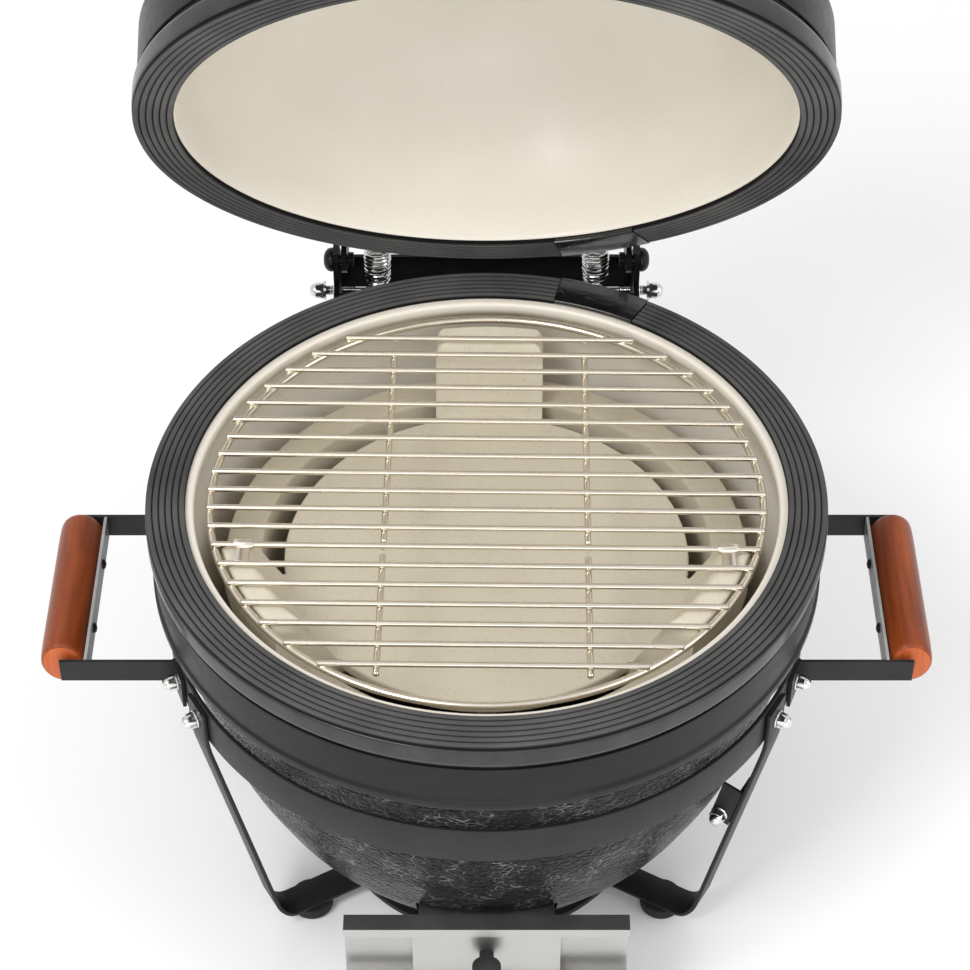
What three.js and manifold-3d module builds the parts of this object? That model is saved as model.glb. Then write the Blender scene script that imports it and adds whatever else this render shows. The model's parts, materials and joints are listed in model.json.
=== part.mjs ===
// Kamado ceramic grill on a low steel stand, stored with its lid open.
// Millimetres. +Z is up, the grill's front faces -Y and the lid hinge is at +Y.
// Every piece is drawn with the lid shut, about the bowl's axis, with z = 0 at the
// top of the base gasket. Nested groups then swing the lid open, turn the straps and
// handles round the stand, and set the whole grill on the floor at z = 0.
import * as THREE from 'three';
import { mergeVertices } from 'three/addons/utils/BufferGeometryUtils.js';
import Module from 'manifold-3d';

const wasm = await Module();
wasm.setup();

// ---------------------------------------------------------------- dimensions
const RIM_HEIGHT = 360; // gasket plane above the floor
const AXIS_Y = -59.45; // the bowl's axis in the finished frame
const SEG = 36; // sides of every large round piece, so that nested ones agree
const GAP = 0.3; // between pieces that rest on or against each other

const RIM_R = 230; // outer radius of the ceramic at the rim
const GROOVE_R = 225.2; // ceramic under the steel bands
const GROOVE_Z = [19, 66]; // where the ceramic steps in, counted from the gasket plane
const MOUTH_R = 202; // inner radius of the lid's rim
const LIP_R = 197.5; // inner radius of the bowl's rim, a little inside the gasket
const GASKET_T = 4;
const GASKET_R = [202.5, 229.5];
const COVER_ARC = [59, 76]; // degrees, the cover over the gasket's joint

const BAND_Z = [25, 62]; // both bands, counted away from the gasket plane
const BAND_R = [225.6, 227.4];
const CLAMP_Z = 44; // the hinge's clamp bolts, counted the same way

const LID_OPEN = 60; // degrees
const PIVOT_Y = 238.5;
const PIVOT_Z = 4;
const EAR_X = 109; // inner face of the base bracket's ears
const EAR_T = 4;
const LID_EAR_X = 103; // inner face of the lid bracket's ears
const BACK_Y = [230.4, 233.4]; // the brackets' back plates
const BASE_ROD = [266, -48]; // y and z
const LID_ROD = [258.6, 28]; // y and z with the lid shut
const ROD_R = 4;
const ROD_HALF = 133;
const SPRING_X = 82;

const RING_R = [219, 222]; // stand ring
const RING_Z = [-122, -92];
const STAND_BOLT_Z = -107; // the straps' and side handles' bolts, in the middle of the ring
const STRAP_W = 24;
const STRAP_T = 3;
const STRAP_ANGLES = { rear: 90, left: 210, right: 330 };
const STRAP_KNEE = [181, -334]; // radius and height of the strap's lower bend
const STRAP_BEND_Z = -126; // where the straps start to lean in
const STRAP_LEAN = Math.atan2(RING_R[1] + 1.8 - STRAP_KNEE[0], STRAP_BEND_Z - STRAP_KNEE[1]);
const CLIP_Z = -202; // on the right strap
const CLIP_H = 40;
const FOOT_R = 150; // feet, from the axis

const ARM_Y = 70.4; // handle arms, either side of the middle
const ARM_H = 18.5;
const ARM_T = 2.5;
const HANDLE_TOP = -96; // top edge of the side handles' arms
const LID_HANDLE_TOP = 54;
const GRIP_SIZE = [30.5, 129, 37]; // oval section, between the arms
const GRIP_OUT = 68; // from the ring's surface to the grip's centre

const SET_TURN = -0.8; // degrees, the loose grate and deflector sit slightly turned
const GRATE_R = 187; // hoop's centre line
const HOOP_Z = -10.2;
const HOOP_WIRE = 2.6;
const BAR_Z = -6.6;
const BAR_WIRE = 2;
const BAR_PITCH = 17.6;
const HINGE_BAR_Y = -50;
const KNUCKLE_X = [154, 167];
const UNDER_ROD_X = 68;
const UNDER_WIRE = 2.2;

const FIREBOX_R = 180;
const FIREBOX_TOP = -58;
const DEFLECTOR_R = 139.5;
const LEG_TOP = -10.8; // just under the knuckles of the grate
const LEGS = [[90, 77], [208, 88], [332, 88]]; // angle and width

const DRAFT_Y = -184; // front face of the draft frame's back plate
const DRAFT_Z = -262; // middle of the draft opening
const DRAFT_SIZE = [90, 38];
const RAIL_X = 98;

const DIAL_AT = [0, -218, 100]; // on the lid's front
const DIAL_TIP = 24; // degrees the dial faces up

const VENT_R = 47;
const LID_TOP = 212;

// ---------------------------------------------------------------- solid tools
const rad = (deg) => (deg * Math.PI) / 180;

function fromLists(points, faces) {
  const geo = new THREE.BufferGeometry();
  geo.setAttribute('position', new THREE.Float32BufferAttribute(points, 3));
  geo.setIndex(faces);
  return geo;
}

function toSolid(geo) {
  let g = geo.clone();
  g.deleteAttribute('normal');
  g.deleteAttribute('uv');
  g = mergeVertices(g, 1e-4);
  const vertProperties = new Float32Array(g.attributes.position.array);
  const triVerts = new Uint32Array(g.index.array);
  return new wasm.Manifold(new wasm.Mesh({ numProp: 3, vertProperties, triVerts }));
}

function fromSolid(solid) {
  const mesh = solid.getMesh();
  return fromLists(Array.from(mesh.vertProperties), Array.from(mesh.triVerts));
}

function join(first, ...rest) {
  return fromSolid(rest.reduce((sum, g) => sum.add(toSolid(g)), toSolid(first)));
}

function common(first, second) {
  return fromSolid(toSolid(first).intersect(toSolid(second)));
}

function cut(first, ...rest) {
  return fromSolid(rest.reduce((sum, g) => sum.subtract(toSolid(g)), toSolid(first)));
}

// Turns a closed outline of [radius, z] points about the Z axis.
function revolve(outline, sides = SEG) {
  const area = outline.reduce((sum, [r, z], i) => {
    const [r2, z2] = outline[(i + 1) % outline.length];
    return sum + r * z2 - r2 * z;
  }, 0);
  const loop = area > 0 ? outline : [...outline].reverse();
  const points = [];
  const start = loop.map(([r, z]) => {
    const first = points.length / 3;
    for (let s = 0; s < (r > 0 ? sides : 1); s++) {
      const a = (2 * Math.PI * s) / sides;
      points.push(r * Math.cos(a), r * Math.sin(a), z);
    }
    return first;
  });
  const faces = [];
  loop.forEach(([r], i) => {
    const next = (i + 1) % loop.length;
    const at = (n, s) => start[n] + (loop[n][0] > 0 ? s % sides : 0);
    for (let s = 0; s < sides; s++) {
      if (r > 0) faces.push(at(i, s), at(i, s + 1), at(next, s));
      if (loop[next][0] > 0) faces.push(at(i, s + 1), at(next, s + 1), at(next, s));
    }
  });
  return fromLists(points, faces);
}

// A round wire along a list of points, with flat ends.
function wire(path, radius, sides = 4) {
  const at = path.map((p) => new THREE.Vector3(...p));
  const points = [];
  const faces = [];
  let side = new THREE.Vector3();
  at.forEach((p, i) => {
    const back = at[Math.max(i - 1, 0)];
    const ahead = at[Math.min(i + 1, at.length - 1)];
    const along = ahead.clone().sub(back).normalize();
    if (i === 0) side.set(Math.abs(along.z) < 0.9 ? 0 : 1, 0, Math.abs(along.z) < 0.9 ? 1 : 0);
    side = side.clone().addScaledVector(along, -side.dot(along)).normalize();
    const other = along.clone().cross(side);
    for (let s = 0; s < sides; s++) {
      const a = (2 * Math.PI * s) / sides;
      const v = p.clone().addScaledVector(side, radius * Math.cos(a));
      v.addScaledVector(other, radius * Math.sin(a));
      points.push(v.x, v.y, v.z);
    }
  });
  for (let i = 0; i + 1 < at.length; i++) {
    for (let s = 0; s < sides; s++) {
      const [a, b] = [i * sides + s, i * sides + ((s + 1) % sides)];
      faces.push(a, b, b + sides, a, b + sides, a + sides);
    }
  }
  const last = (at.length - 1) * sides;
  for (let s = 1; s + 1 < sides; s++) {
    faces.push(0, s + 1, s, last, last + s, last + s + 1);
  }
  return fromLists(points, faces);
}

function box(x, y, z) {
  const g = new THREE.BoxGeometry(x[1] - x[0], y[1] - y[0], z[1] - z[0]);
  return g.translate((x[0] + x[1]) / 2, (y[0] + y[1]) / 2, (z[0] + z[1]) / 2);
}

// A cylinder along Z from z[0] to z[1].
const rod = (r, z, sides = 12) => revolve([[0, z[0]], [r, z[0]], [r, z[1]], [0, z[1]]], sides);

// A closed body through matching loops of points, with flat ends.
function loft(rings) {
  const n = rings[0].length;
  const faces = [];
  for (let k = 0; k + 1 < rings.length; k++) {
    for (let i = 0; i < n; i++) {
      const [a, b] = [k * n + i, k * n + ((i + 1) % n)];
      faces.push(a, b + n, b, a, a + n, b + n);
    }
  }
  const last = (rings.length - 1) * n;
  for (let i = 1; i + 1 < n; i++) {
    faces.push(0, i, i + 1, last, last + i + 1, last + i);
  }
  return fromLists(rings.flat(2), faces);
}

// A flat outline of [x, y] points raised from z = 0.
function plate(outline, thickness, holes = []) {
  const shape = new THREE.Shape(outline.map(([x, y]) => new THREE.Vector2(x, y)));
  for (const hole of holes) {
    shape.holes.push(new THREE.Path(hole.map(([x, y]) => new THREE.Vector2(x, y))));
  }
  return new THREE.ExtrudeGeometry(shape, { depth: thickness, bevelEnabled: false });
}

function arcPoints(radius, from, to, steps) {
  return Array.from({ length: steps + 1 }, (_, i) => {
    const a = rad(from + ((to - from) * i) / steps);
    return [radius * Math.cos(a), radius * Math.sin(a)];
  });
}

// Part of a flat ring between two angles in degrees.
function ringSector(radii, z, from, to, steps) {
  const outline = [...arcPoints(radii[1], from, to, steps), ...arcPoints(radii[0], to, from, steps)];
  return plate(outline, z[1] - z[0]).translate(0, 0, z[0]);
}

const turn = (geo, deg) => geo.clone().rotateZ(rad(deg));
const mirrorZ = (outline) => outline.map(([r, z]) => [r, -z]);

// Points a piece drawn along +Z outwards at an angle about the axis.
function outward(geo, angle, radius, z) {
  return geo.clone().rotateY(Math.PI / 2).translate(radius, 0, z).rotateZ(rad(angle));
}

// ---------------------------------------------------------------- the pieces
const looks = {
  glaze: { color: 0x1d1d1f, roughness: 0.25 },
  firebrick: { color: 0xc9c0a8, roughness: 0.85 },
  gasket: { color: 0x4a4a4c, roughness: 0.95 },
  tape: { color: 0x0a0a0b, roughness: 0.3 },
  paint: { color: 0x2b2b2c, roughness: 0.5 },
  steel: { color: 0xcfcfcf, roughness: 0.3, metalness: 1 },
  grate: { color: 0xd8d0c0, roughness: 0.3, metalness: 1 },
  iron: { color: 0x232323, roughness: 0.8, metalness: 0.4 },
  wood: { color: 0x8a4a22, roughness: 0.5 },
  rubber: { color: 0x141414, roughness: 0.9 },
  glass: { color: 0xdfe8ea, roughness: 0.05 },
  dial: { color: 0xf2f2ee, roughness: 0.6 },
};

// Bolt with a domed nut: shank along +Z through z = 0, nut on the +Z side.
function domeBolt(grip, head = 3) {
  return revolve([
    [0, -grip - head], [5, -grip - head], [5, -grip - GAP], [2.9, -grip - GAP],
    [2.9, GAP], [6.2, GAP], [5.2, 1.6], [5.2, 6.5], [0, 10.8],
  ], 8);
}

const boltHole = (length = 30) => rod(3.2, [-length / 2, length / 2], 8);

// Holes for the hinge's two clamp bolts through the back of a rim or bracket.
const CLAMP_X = 40;
const clampHoles = (z) => [-CLAMP_X, CLAMP_X].map((x) => (
  rod(3.3, [-20, 20], 8).rotateX(Math.PI / 2).translate(x, 232, z)));

function makeBowl() {
  const top = -GASKET_T - GAP;
  const shell = revolve([
    [RIM_R, top], [RIM_R, -GROOVE_Z[0]], [GROOVE_R, -GROOVE_Z[0] - 4], [GROOVE_R, -GROOVE_Z[1]],
    [214.5, -100], [205, -150], [190, -200], [168, -250],
    [135, -300], [104, -330], [98, -340.7], [0, -340.7],
    [0, -294], [94, -294], [96, -262], [142, -262], [166, -200], [191, -100],
    [205, -44], [205, -21], [LIP_R, -13], [LIP_R, top],
  ]);
  const [w, h] = DRAFT_SIZE;
  const mouth = box([-w / 2 - 4, w / 2 + 4], [-210, -80], [DRAFT_Z - h / 2 - 4, DRAFT_Z + h / 2 + 4]);
  return cut(shell, mouth, ...clampHoles(-CLAMP_Z));
}

function makeLid() {
  const bottom = GASKET_T + 2 * GAP;
  const shell = revolve([
    [RIM_R, bottom], [RIM_R, GROOVE_Z[0]], [GROOVE_R, GROOVE_Z[0] + 4], [GROOVE_R, GROOVE_Z[1]],
    [222, 86], [212, 114], [190, 148], [158, 178], [118, 198],
    [64, LID_TOP], [VENT_R + 1, LID_TOP],
    [VENT_R + 1, 186], [84, 180], [126, 162], [160, 136], [184, 102], [198, 60],
    [MOUTH_R, 40], [MOUTH_R, bottom],
  ]);
  const stem = rod(4.6, [-60, 30], 10).rotateX(rad(90 - DIAL_TIP)).translate(...DIAL_AT);
  return cut(shell, stem);
}

function makeFirebox() {
  let g = revolve([
    [FIREBOX_R, FIREBOX_TOP], [155, FIREBOX_TOP], [150, -100], [128, -200], [108, -242], [70, -242],
    [70, -261.6], [134, -261.6], [152, -200], [177, -100],
  ]);
  for (let i = 0; i < 6; i++) {
    g = cut(g, outward(rod(8, [90, 180], 8), 30 + 60 * i, 0, -205));
  }
  return cut(g, box([-42, 42], [-160, -60], [-262, -245]));
}

function makeCharcoalGrate() {
  const slot = (x, w, h) => [[x - w, -h], [x + w, -h], [x + w, h], [x - w, h]];
  const holes = [-56, -28, 0, 28, 56].map((x) => slot(x, 7, Math.sqrt(78 * 78 - x * x) - 6));
  return plate(arcPoints(98, 0, 350, 35), 9, holes);
}

// Three legs stand on the firebox and carry the plate below its rim.
function makeDeflector() {
  const r = DEFLECTOR_R;
  const disc = revolve([[0, -76], [r - 6, -76], [r - 1.5, -74], [r, -71], [r, -64], [r - 1.5, -62], [0, -62]]);
  const foot = FIREBOX_TOP + GAP;
  const section = revolve([
    [r - 11.5, -76], [r + 6.5, -76], [r + 8.5, foot], [181, foot], [182, foot + 2.7],
    [182, -12], [179, LEG_TOP], [168, LEG_TOP], [164, -12], [r + 1.5, -62], [r - 11.5, -62],
  ]);
  const legs = LEGS.map(([angle, width]) => {
    const w = width / 2;
    const slab = [[-w, -80], [w, -80], [w, -19], [w - 10, LEG_TOP], [10 - w, LEG_TOP], [-w, -19]];
    return common(section, turn(acrossYZ(slab, 100).translate(100, 0, 0), angle));
  });
  return join(disc, ...legs);
}

// Bars in one half of the grate, lying across the hoop.
function bars(rows) {
  return rows.map((k) => {
    const y = HINGE_BAR_Y + k * BAR_PITCH;
    const half = Math.sqrt(GRATE_R * GRATE_R - y * y) + 1.5;
    return wire([[-half, y, BAR_Z], [half, y, BAR_Z]], BAR_WIRE);
  });
}

function hoop(from, to, steps) {
  return wire(arcPoints(GRATE_R, from, to, steps).map(([x, y]) => [x, y, HOOP_Z]), HOOP_WIRE, 5);
}

function underRod(x, y1, y2) {
  return wire([[x, y1, HOOP_Z + 0.2], [x, y2, HOOP_Z + 0.2]], UNDER_WIRE);
}

function makeGrate() {
  const rows = Array.from({ length: 13 }, (_, k) => k);
  const rods = [-1, 1].map((s) => underRod(s * UNDER_ROD_X, -43, 146));
  return join(hoop(-15.4, 195.4, 30), ...bars(rows), ...rods);
}

function makeGrateFlap() {
  const rows = Array.from({ length: 6 }, (_, k) => -1 - k);
  const rods = [-1, 1].map((s) => underRod(s * UNDER_ROD_X, -56, -161.5));
  const [x1, x2] = KNUCKLE_X;
  const tube = rod(3.8, [x1, x2], 10).rotateY(Math.PI / 2).translate(0, HINGE_BAR_Y, BAR_Z);
  const tab = box([x1 + 2, x2 - 2], [HINGE_BAR_Y - BAR_PITCH, HINGE_BAR_Y - 3], [BAR_Z - 0.9, BAR_Z + 0.9]);
  const bore = rod(2.4, [x1 - 2, x2 + 2], 10).rotateY(Math.PI / 2).translate(0, HINGE_BAR_Y, BAR_Z);
  const knuckle = cut(join(tube, tab), bore);
  return join(hoop(-163.5, -16.5, 21), ...bars(rows), ...rods, knuckle, mirrorX(knuckle));
}

// The same solid on the other side of the X = 0 plane.
function mirrorX(geo) {
  const g = geo.clone().applyMatrix4(new THREE.Matrix4().makeScale(-1, 1, 1));
  const index = Array.from(g.index.array);
  for (let i = 0; i < index.length; i += 3) {
    [index[i], index[i + 1]] = [index[i + 1], index[i]];
  }
  g.setIndex(index);
  return g;
}

function makeStrap() {
  const t = STRAP_T / 2;
  const r = RING_R[1] + GAP + t;
  const line = [[r, RING_Z[1] - 2], [r, STRAP_BEND_Z], STRAP_KNEE, [172, -347], [84, -347]];
  const offset = (side) => line.map(([x, z], i) => {
    const a = line[Math.max(i - 1, 0)];
    const b = line[Math.min(i + 1, line.length - 1)];
    const n = Math.hypot(b[0] - a[0], b[1] - a[1]);
    return [x + (side * t * (b[1] - a[1])) / n, z - (side * t * (b[0] - a[0])) / n];
  });
  const g = plate([...offset(-1), ...offset(1).reverse()], STRAP_W);
  g.translate(0, 0, -STRAP_W / 2).rotateX(Math.PI / 2);
  return cut(g, outward(boltHole(), 0, r, STAND_BOLT_Z));
}

const makeFoot = () => (
  revolve([[0, -RIM_HEIGHT], [13, -RIM_HEIGHT], [15, -357], [16, -349], [0, -349]], 16));

// Where a handle's tabs sit on a round surface of radius r, in degrees off the middle.
const tabAngle = (r) => (Math.asin((ARM_Y + 7.5) / r) * 180) / Math.PI;

// A carrying handle that reaches out along +X from a round surface of radius r.
function handleArms(r, top, tab, boltZ) {
  const start = Math.sqrt(r * r - ARM_Y * ARM_Y) + 1.5;
  const sheet = outward(box([0, tab], [-11, 11], [GAP, GAP + ARM_T]), 0, r, top);
  const parts = [-1, 1].flatMap((s) => [
    box([start, r + GRIP_OUT + 1], [s * ARM_Y - ARM_T / 2, s * ARM_Y + ARM_T / 2], [top - ARM_H, top]),
    turn(sheet, s * tabAngle(r)),
  ]);
  const x = r + GRIP_OUT - GRIP_SIZE[0] / 2 - GAP;
  const strip = box([x - 2, x], [-ARM_Y, ARM_Y], [top - ARM_H, top]);
  const holes = [-1, 1].map((s) => outward(boltHole(), s * tabAngle(r), r, boltZ));
  return cut(join(...parts, strip), ...holes);
}

// An oval bar with one flat along its inner side, lying along Y.
function handleGrip() {
  const [w, length, h] = GRIP_SIZE;
  const side = Array.from({ length: 20 }, (_, i) => {
    const a = rad(18 * i + 9);
    return [Math.max((w / 2) * Math.cos(a) * 1.02, 0.3 - w / 2), (h / 2) * Math.sin(a)];
  });
  const at = (k, y) => side.map(([x, z]) => [x * k, y, z * k]);
  const rings = [
    at(0.93, -length / 2), at(1, -length / 2 + 1.5), at(1, length / 2 - 1.5), at(0.93, length / 2),
  ];
  return loft(rings);
}

// A flat outline of [y, z] points raised along X from x = 0.
const acrossYZ = (outline, thickness) => (
  plate(outline, thickness).rotateZ(Math.PI / 2).rotateY(Math.PI / 2));

// The hinge's two side plates, x being the inner face of the right one.
function ears(outline, x) {
  const side = acrossYZ(outline, EAR_T);
  return [side.clone().translate(x, 0, 0), side.clone().translate(-x - EAR_T, 0, 0)];
}

const acrossX = (geo, y, z) => geo.clone().rotateY(Math.PI / 2).translate(0, y, z);

const hingeHoles = ([y, z]) => [
  acrossX(rod(ROD_R + 0.3, [-140, 140]), y, z),
  acrossX(rod(4.2, [-140, 140]), PIVOT_Y, PIVOT_Z),
];

function makeBaseBracket() {
  const outline = [
    [212, -58], [262, -62], [282, -62], [282, -26], [276, -22], [252, 8], [246, 14], [232, 14],
    [231, 8], [231, -16], [212, -20],
  ];
  const back = box([-EAR_X - 1, EAR_X + 1], BACK_Y, [-58, -24]);
  const shield = box([-EAR_X - 1, EAR_X + 1], [279, 282], [-62, -26]);
  return cut(join(...ears(outline, EAR_X), back, shield), ...hingeHoles(BASE_ROD), ...clampHoles(-CLAMP_Z));
}

function makeLidBracket() {
  const outline = [
    [212, 22], [231, 18], [231, 0], [238, -5], [245, -4], [262, 10], [268, 24], [266, 36],
    [252, 44], [250, 58], [212, 58],
  ];
  const back = box([-LID_EAR_X - 1, LID_EAR_X + 1], BACK_Y, [24, 58]);
  return cut(join(...ears(outline, LID_EAR_X), back), ...hingeHoles(LID_ROD));
}

// A rod with a domed nut on each end.
function nuttedRod(half) {
  const side = [[ROD_R, half - 11], [7, half - 10.9], [7, half - 9], [6, half - 8.9], [6, half - 4], [4, half]];
  const outline = [[0, -half - 1], ...side.map(([r, h]) => [r, -h]).reverse(), ...side, [0, half + 1]];
  return revolve(outline, 12);
}

const pivotBolt = () => revolve([
  [0, 98], [6, 98], [6, LID_EAR_X - 0.4], [3.9, LID_EAR_X - 0.4], [3.9, EAR_X + EAR_T + 0.4],
  [9, EAR_X + EAR_T + 0.4], [9, 116], [6.5, 119], [0, 120],
], 12);

const clampBolt = () => revolve([
  [0, 220], [2.9, 220], [2.9, 233.7], [5.8, 233.7], [5.8, 237.4], [0, 238],
], 10);

// Extension spring drawn for the open lid, with an eye round each rod.
function makeSpring() {
  const open = new THREE.Vector2(LID_ROD[0] - PIVOT_Y, LID_ROD[1] - PIVOT_Z)
    .rotateAround(new THREE.Vector2(), -rad(LID_OPEN));
  const low = new THREE.Vector2(...BASE_ROD);
  const high = open.add(new THREE.Vector2(PIVOT_Y, PIVOT_Z));
  const along = high.clone().sub(low).normalize();
  const length = high.distanceTo(low);
  const [eye, coil, turns] = [6.2, 8.6, 7];
  const path = [];
  // x across the hinge, v square to the spring, u along it from the lower rod
  const push = (x, v, u) => (
    path.push([x, low.x + along.x * u + along.y * v, low.y + along.y * u - along.x * v]));
  for (let i = 0; i <= 6; i++) {
    const a = rad(-60 - 50 * i);
    push(0, eye * Math.cos(a), eye * Math.sin(a));
  }
  const [from, to] = [10.5, length - 10.5];
  for (let i = 0; i <= turns * 8; i++) {
    const a = rad(90 + 45 * i);
    push(coil * Math.cos(a), coil * Math.sin(a), from + ((to - from) * i) / (turns * 8));
  }
  for (let i = 0; i <= 6; i++) {
    const a = rad(-116 + 50 * i);
    push(0, eye * Math.cos(a), length + eye * Math.sin(a));
  }
  return wire(path, 1.3, 4);
}

// A small angle bracket behind the right strap, drawn with the strap's face at x = 0.
const CLIP_BOLT_AT = [-9, -12, -12];

function makeStrapClip() {
  const half = CLIP_H / 2;
  const angle = join(
    box([-2.4, -0.4], [-12, 4], [-half, half]),
    box([-15, -0.4], [-12, -10], [-half, half]),
  );
  return cut(angle, boltHole().rotateX(Math.PI / 2).translate(...CLIP_BOLT_AT));
}

function makeThermometerCase() {
  return revolve([
    [0, -52], [3.2, -50], [4, -46], [4, 1], [36, 1], [39, 4], [39, 16], [36, 18], [33.5, 18],
    [33.5, 6], [0, 6],
  ], 20);
}

const makePointer = () => join(rod(3.5, [7.8, 10], 10), box([-1.2, 1.2], [0, 25], [8.2, 9.2]));

const PORTS = [0, 72, 144, 216, 288];
const ventPort = (a, r = 10, at = 26) => arcPoints(r, 0, 315, 7).map(([x, y]) => {
  const [c, s] = [Math.cos(rad(a)), Math.sin(rad(a))];
  return [(x + at) * c - y * s, (x + at) * s + y * c];
});

function makeVentCollar() {
  const ring = revolve([
    [41, 180], [VENT_R, 180], [VENT_R, LID_TOP + GAP], [60, LID_TOP + GAP], [60, LID_TOP + 4],
    [50, LID_TOP + 6], [50, LID_TOP + 14], [41, LID_TOP + 14],
  ], 24);
  const ear = join(
    rod(9, [LID_TOP + 1, LID_TOP + 14], 16).translate(60, 0, 0),
    box([45, 60], [-9, 9], [LID_TOP + 1, LID_TOP + 14]),
  );
  return cut(join(ring, ear), rod(3.2, [LID_TOP - 5, LID_TOP + 30], 10).translate(60, 0, 0));
}

function makeVentCap() {
  const z = LID_TOP + 14 + GAP;
  const disc = plate(arcPoints(51, 0, 345, 23), 6, PORTS.map((a) => ventPort(a))).translate(0, 0, z);
  const ear = join(
    rod(9, [z, z + 6], 16).translate(60, 0, 0),
    box([46, 60], [-9, 9], [z, z + 6]),
  );
  const pin = rod(3.2, [z - 5, z + 20], 10).translate(60, 0, 0);
  const recess = rod(8, [z - 5, z + 2.6], 16); // for the daisy pin's lower flange
  return cut(join(disc, ear), pin, rod(3.3, [z - 5, z + 20], 10), recess);
}

const ventPin = () => revolve([
  [0, LID_TOP + 2], [2.9, LID_TOP + 2], [2.9, LID_TOP + 20.6], [6, LID_TOP + 20.6], [6, LID_TOP + 22.5],
  [4, LID_TOP + 24.5], [0, LID_TOP + 25],
], 12);

function makeDaisyWheel() {
  const z = LID_TOP + 20 + 2 * GAP;
  const holes = [...PORTS.map((a) => ventPort(a + 12)), arcPoints(3.3, 0, 324, 9)];
  const disc = plate(arcPoints(42, 0, 345, 23), 4, holes).translate(0, 0, z);
  const lug = rod(5, [z + 3.5, z + 16], 12).translate(0, -36, 0);
  return join(disc, lug);
}

const daisyPin = () => revolve([
  [0, LID_TOP + 14.6], [6.8, LID_TOP + 14.6], [6.8, LID_TOP + 16.6], [2.9, LID_TOP + 16.6],
  [2.9, LID_TOP + 25], [8, LID_TOP + 25], [8, LID_TOP + 28], [5, LID_TOP + 31], [0, LID_TOP + 31.5],
], 12);

function makeDraftFrame() {
  const [w, h] = DRAFT_SIZE;
  const z0 = DRAFT_Z;
  const hole = box([-w / 2, w / 2], [-300, 0], [z0 - h / 2, z0 + h / 2]);
  const back = box([-RAIL_X, RAIL_X], [DRAFT_Y, DRAFT_Y + 2], [z0 - 31, z0 + 31]);
  const sleeve = box([-w / 2 - 2, w / 2 + 2], [DRAFT_Y, -146], [z0 - h / 2 - 2, z0 + h / 2 + 2]);
  const rails = [-1, 1].flatMap((s) => {
    const side = (a, b) => [z0 + Math.min(s * a, s * b), z0 + Math.max(s * a, s * b)];
    return [
      box([-RAIL_X, RAIL_X], [DRAFT_Y - 9.6, DRAFT_Y + 1], side(28, 31)),
      box([-RAIL_X, RAIL_X], [DRAFT_Y - 11, DRAFT_Y - 9], side(23, 31)),
    ];
  });
  return cut(join(back, sleeve, ...rails), hole);
}

const draftPlate = (y1, y2) => box([-51, 51], [y1, y2], [DRAFT_Z - 27.5, DRAFT_Z + 27.5]);

function makeDraftScreen() {
  const slots = [];
  for (const x of [-33, -11, 11, 33]) {
    for (const z of [-11, 0, 11]) {
      slots.push(box([x - 8, x + 8], [-200, -170], [DRAFT_Z + z - 3.5, DRAFT_Z + z + 3.5]));
    }
  }
  const tab = box([-49, -44], [DRAFT_Y - 3.5, DRAFT_Y - 2.5], [DRAFT_Z - 10, DRAFT_Z + 10]);
  return cut(draftPlate(DRAFT_Y - 3, DRAFT_Y - 1), ...slots);
}

const draftKnob = () => revolve([[0, 0.2], [5, 0.2], [5, 5], [10, 9], [10, 14], [7, 17], [0, 17.5]], 16);

// ---------------------------------------------------------------- assembly
const grill = new THREE.Group();
grill.name = 'kamado_grill';
grill.position.set(0, AXIS_Y, RIM_HEIGHT);

function group(parent, name, at = [0, 0, 0], turned = [0, 0, 0]) {
  const g = new THREE.Group();
  g.name = name;
  g.position.set(...at);
  g.rotation.set(...turned.map(rad));
  parent.add(g);
  return g;
}

function add(parent, name, geo, look, at = [0, 0, 0], turned = [0, 0, 0]) {
  geo.computeVertexNormals();
  const mesh = new THREE.Mesh(geo, new THREE.MeshStandardMaterial(look));
  mesh.name = name;
  mesh.position.set(...at);
  mesh.rotation.set(...turned.map(rad));
  parent.add(mesh);
}

// Both gaskets have a joint, hidden by a cover.
function addGasket(parent, prefix, z) {
  const slit = 0.2; // degrees
  const main = ringSector(GASKET_R, [0, GASKET_T], COVER_ARC[1], COVER_ARC[0] + 360, 36);
  const cover = ringSector(GASKET_R, [0, GASKET_T], COVER_ARC[0] + slit, COVER_ARC[1] - slit, 3);
  add(parent, `${prefix}_gasket`, main, looks.gasket, [0, 0, z]);
  add(parent, `${prefix}_gasket_cover`, cover, looks.tape, [0, 0, z]);
}

const bandOutline = [
  [BAND_R[0], -BAND_Z[0]], [BAND_R[1], -BAND_Z[0]], [BAND_R[1], -BAND_Z[1] + 8],
  [BAND_R[1] + 1.6, -BAND_Z[1] + 6], [BAND_R[1] + 1.6, -BAND_Z[1]], [BAND_R[0], -BAND_Z[1]],
];

// Bowl and what stands in it
add(grill, 'bowl', makeBowl(), looks.glaze);
addGasket(grill, 'base', -GASKET_T);
add(grill, 'base_band', cut(revolve(bandOutline), ...clampHoles(-CLAMP_Z)), looks.paint);
add(grill, 'firebox', makeFirebox(), looks.firebrick);
add(grill, 'charcoal_grate', makeCharcoalGrate(), looks.iron, [0, 0, -242 + GAP]);
const loose = group(grill, 'loose_parts', [0, 0, 0], [0, 0, SET_TURN]);
add(loose, 'deflector', makeDeflector(), looks.firebrick);
add(loose, 'cooking_grate', makeGrate(), looks.grate);
add(loose, 'grate_flap', makeGrateFlap(), looks.grate);

// Draft door at the front
add(grill, 'draft_frame', makeDraftFrame(), looks.steel);
add(grill, 'draft_door', draftPlate(DRAFT_Y - 8, DRAFT_Y - 6), looks.steel);
add(grill, 'draft_knob', draftKnob(), looks.rubber, [0, DRAFT_Y - 8, DRAFT_Z], [90, 0, 0]);
add(grill, 'draft_screen', makeDraftScreen(), looks.steel);

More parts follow.
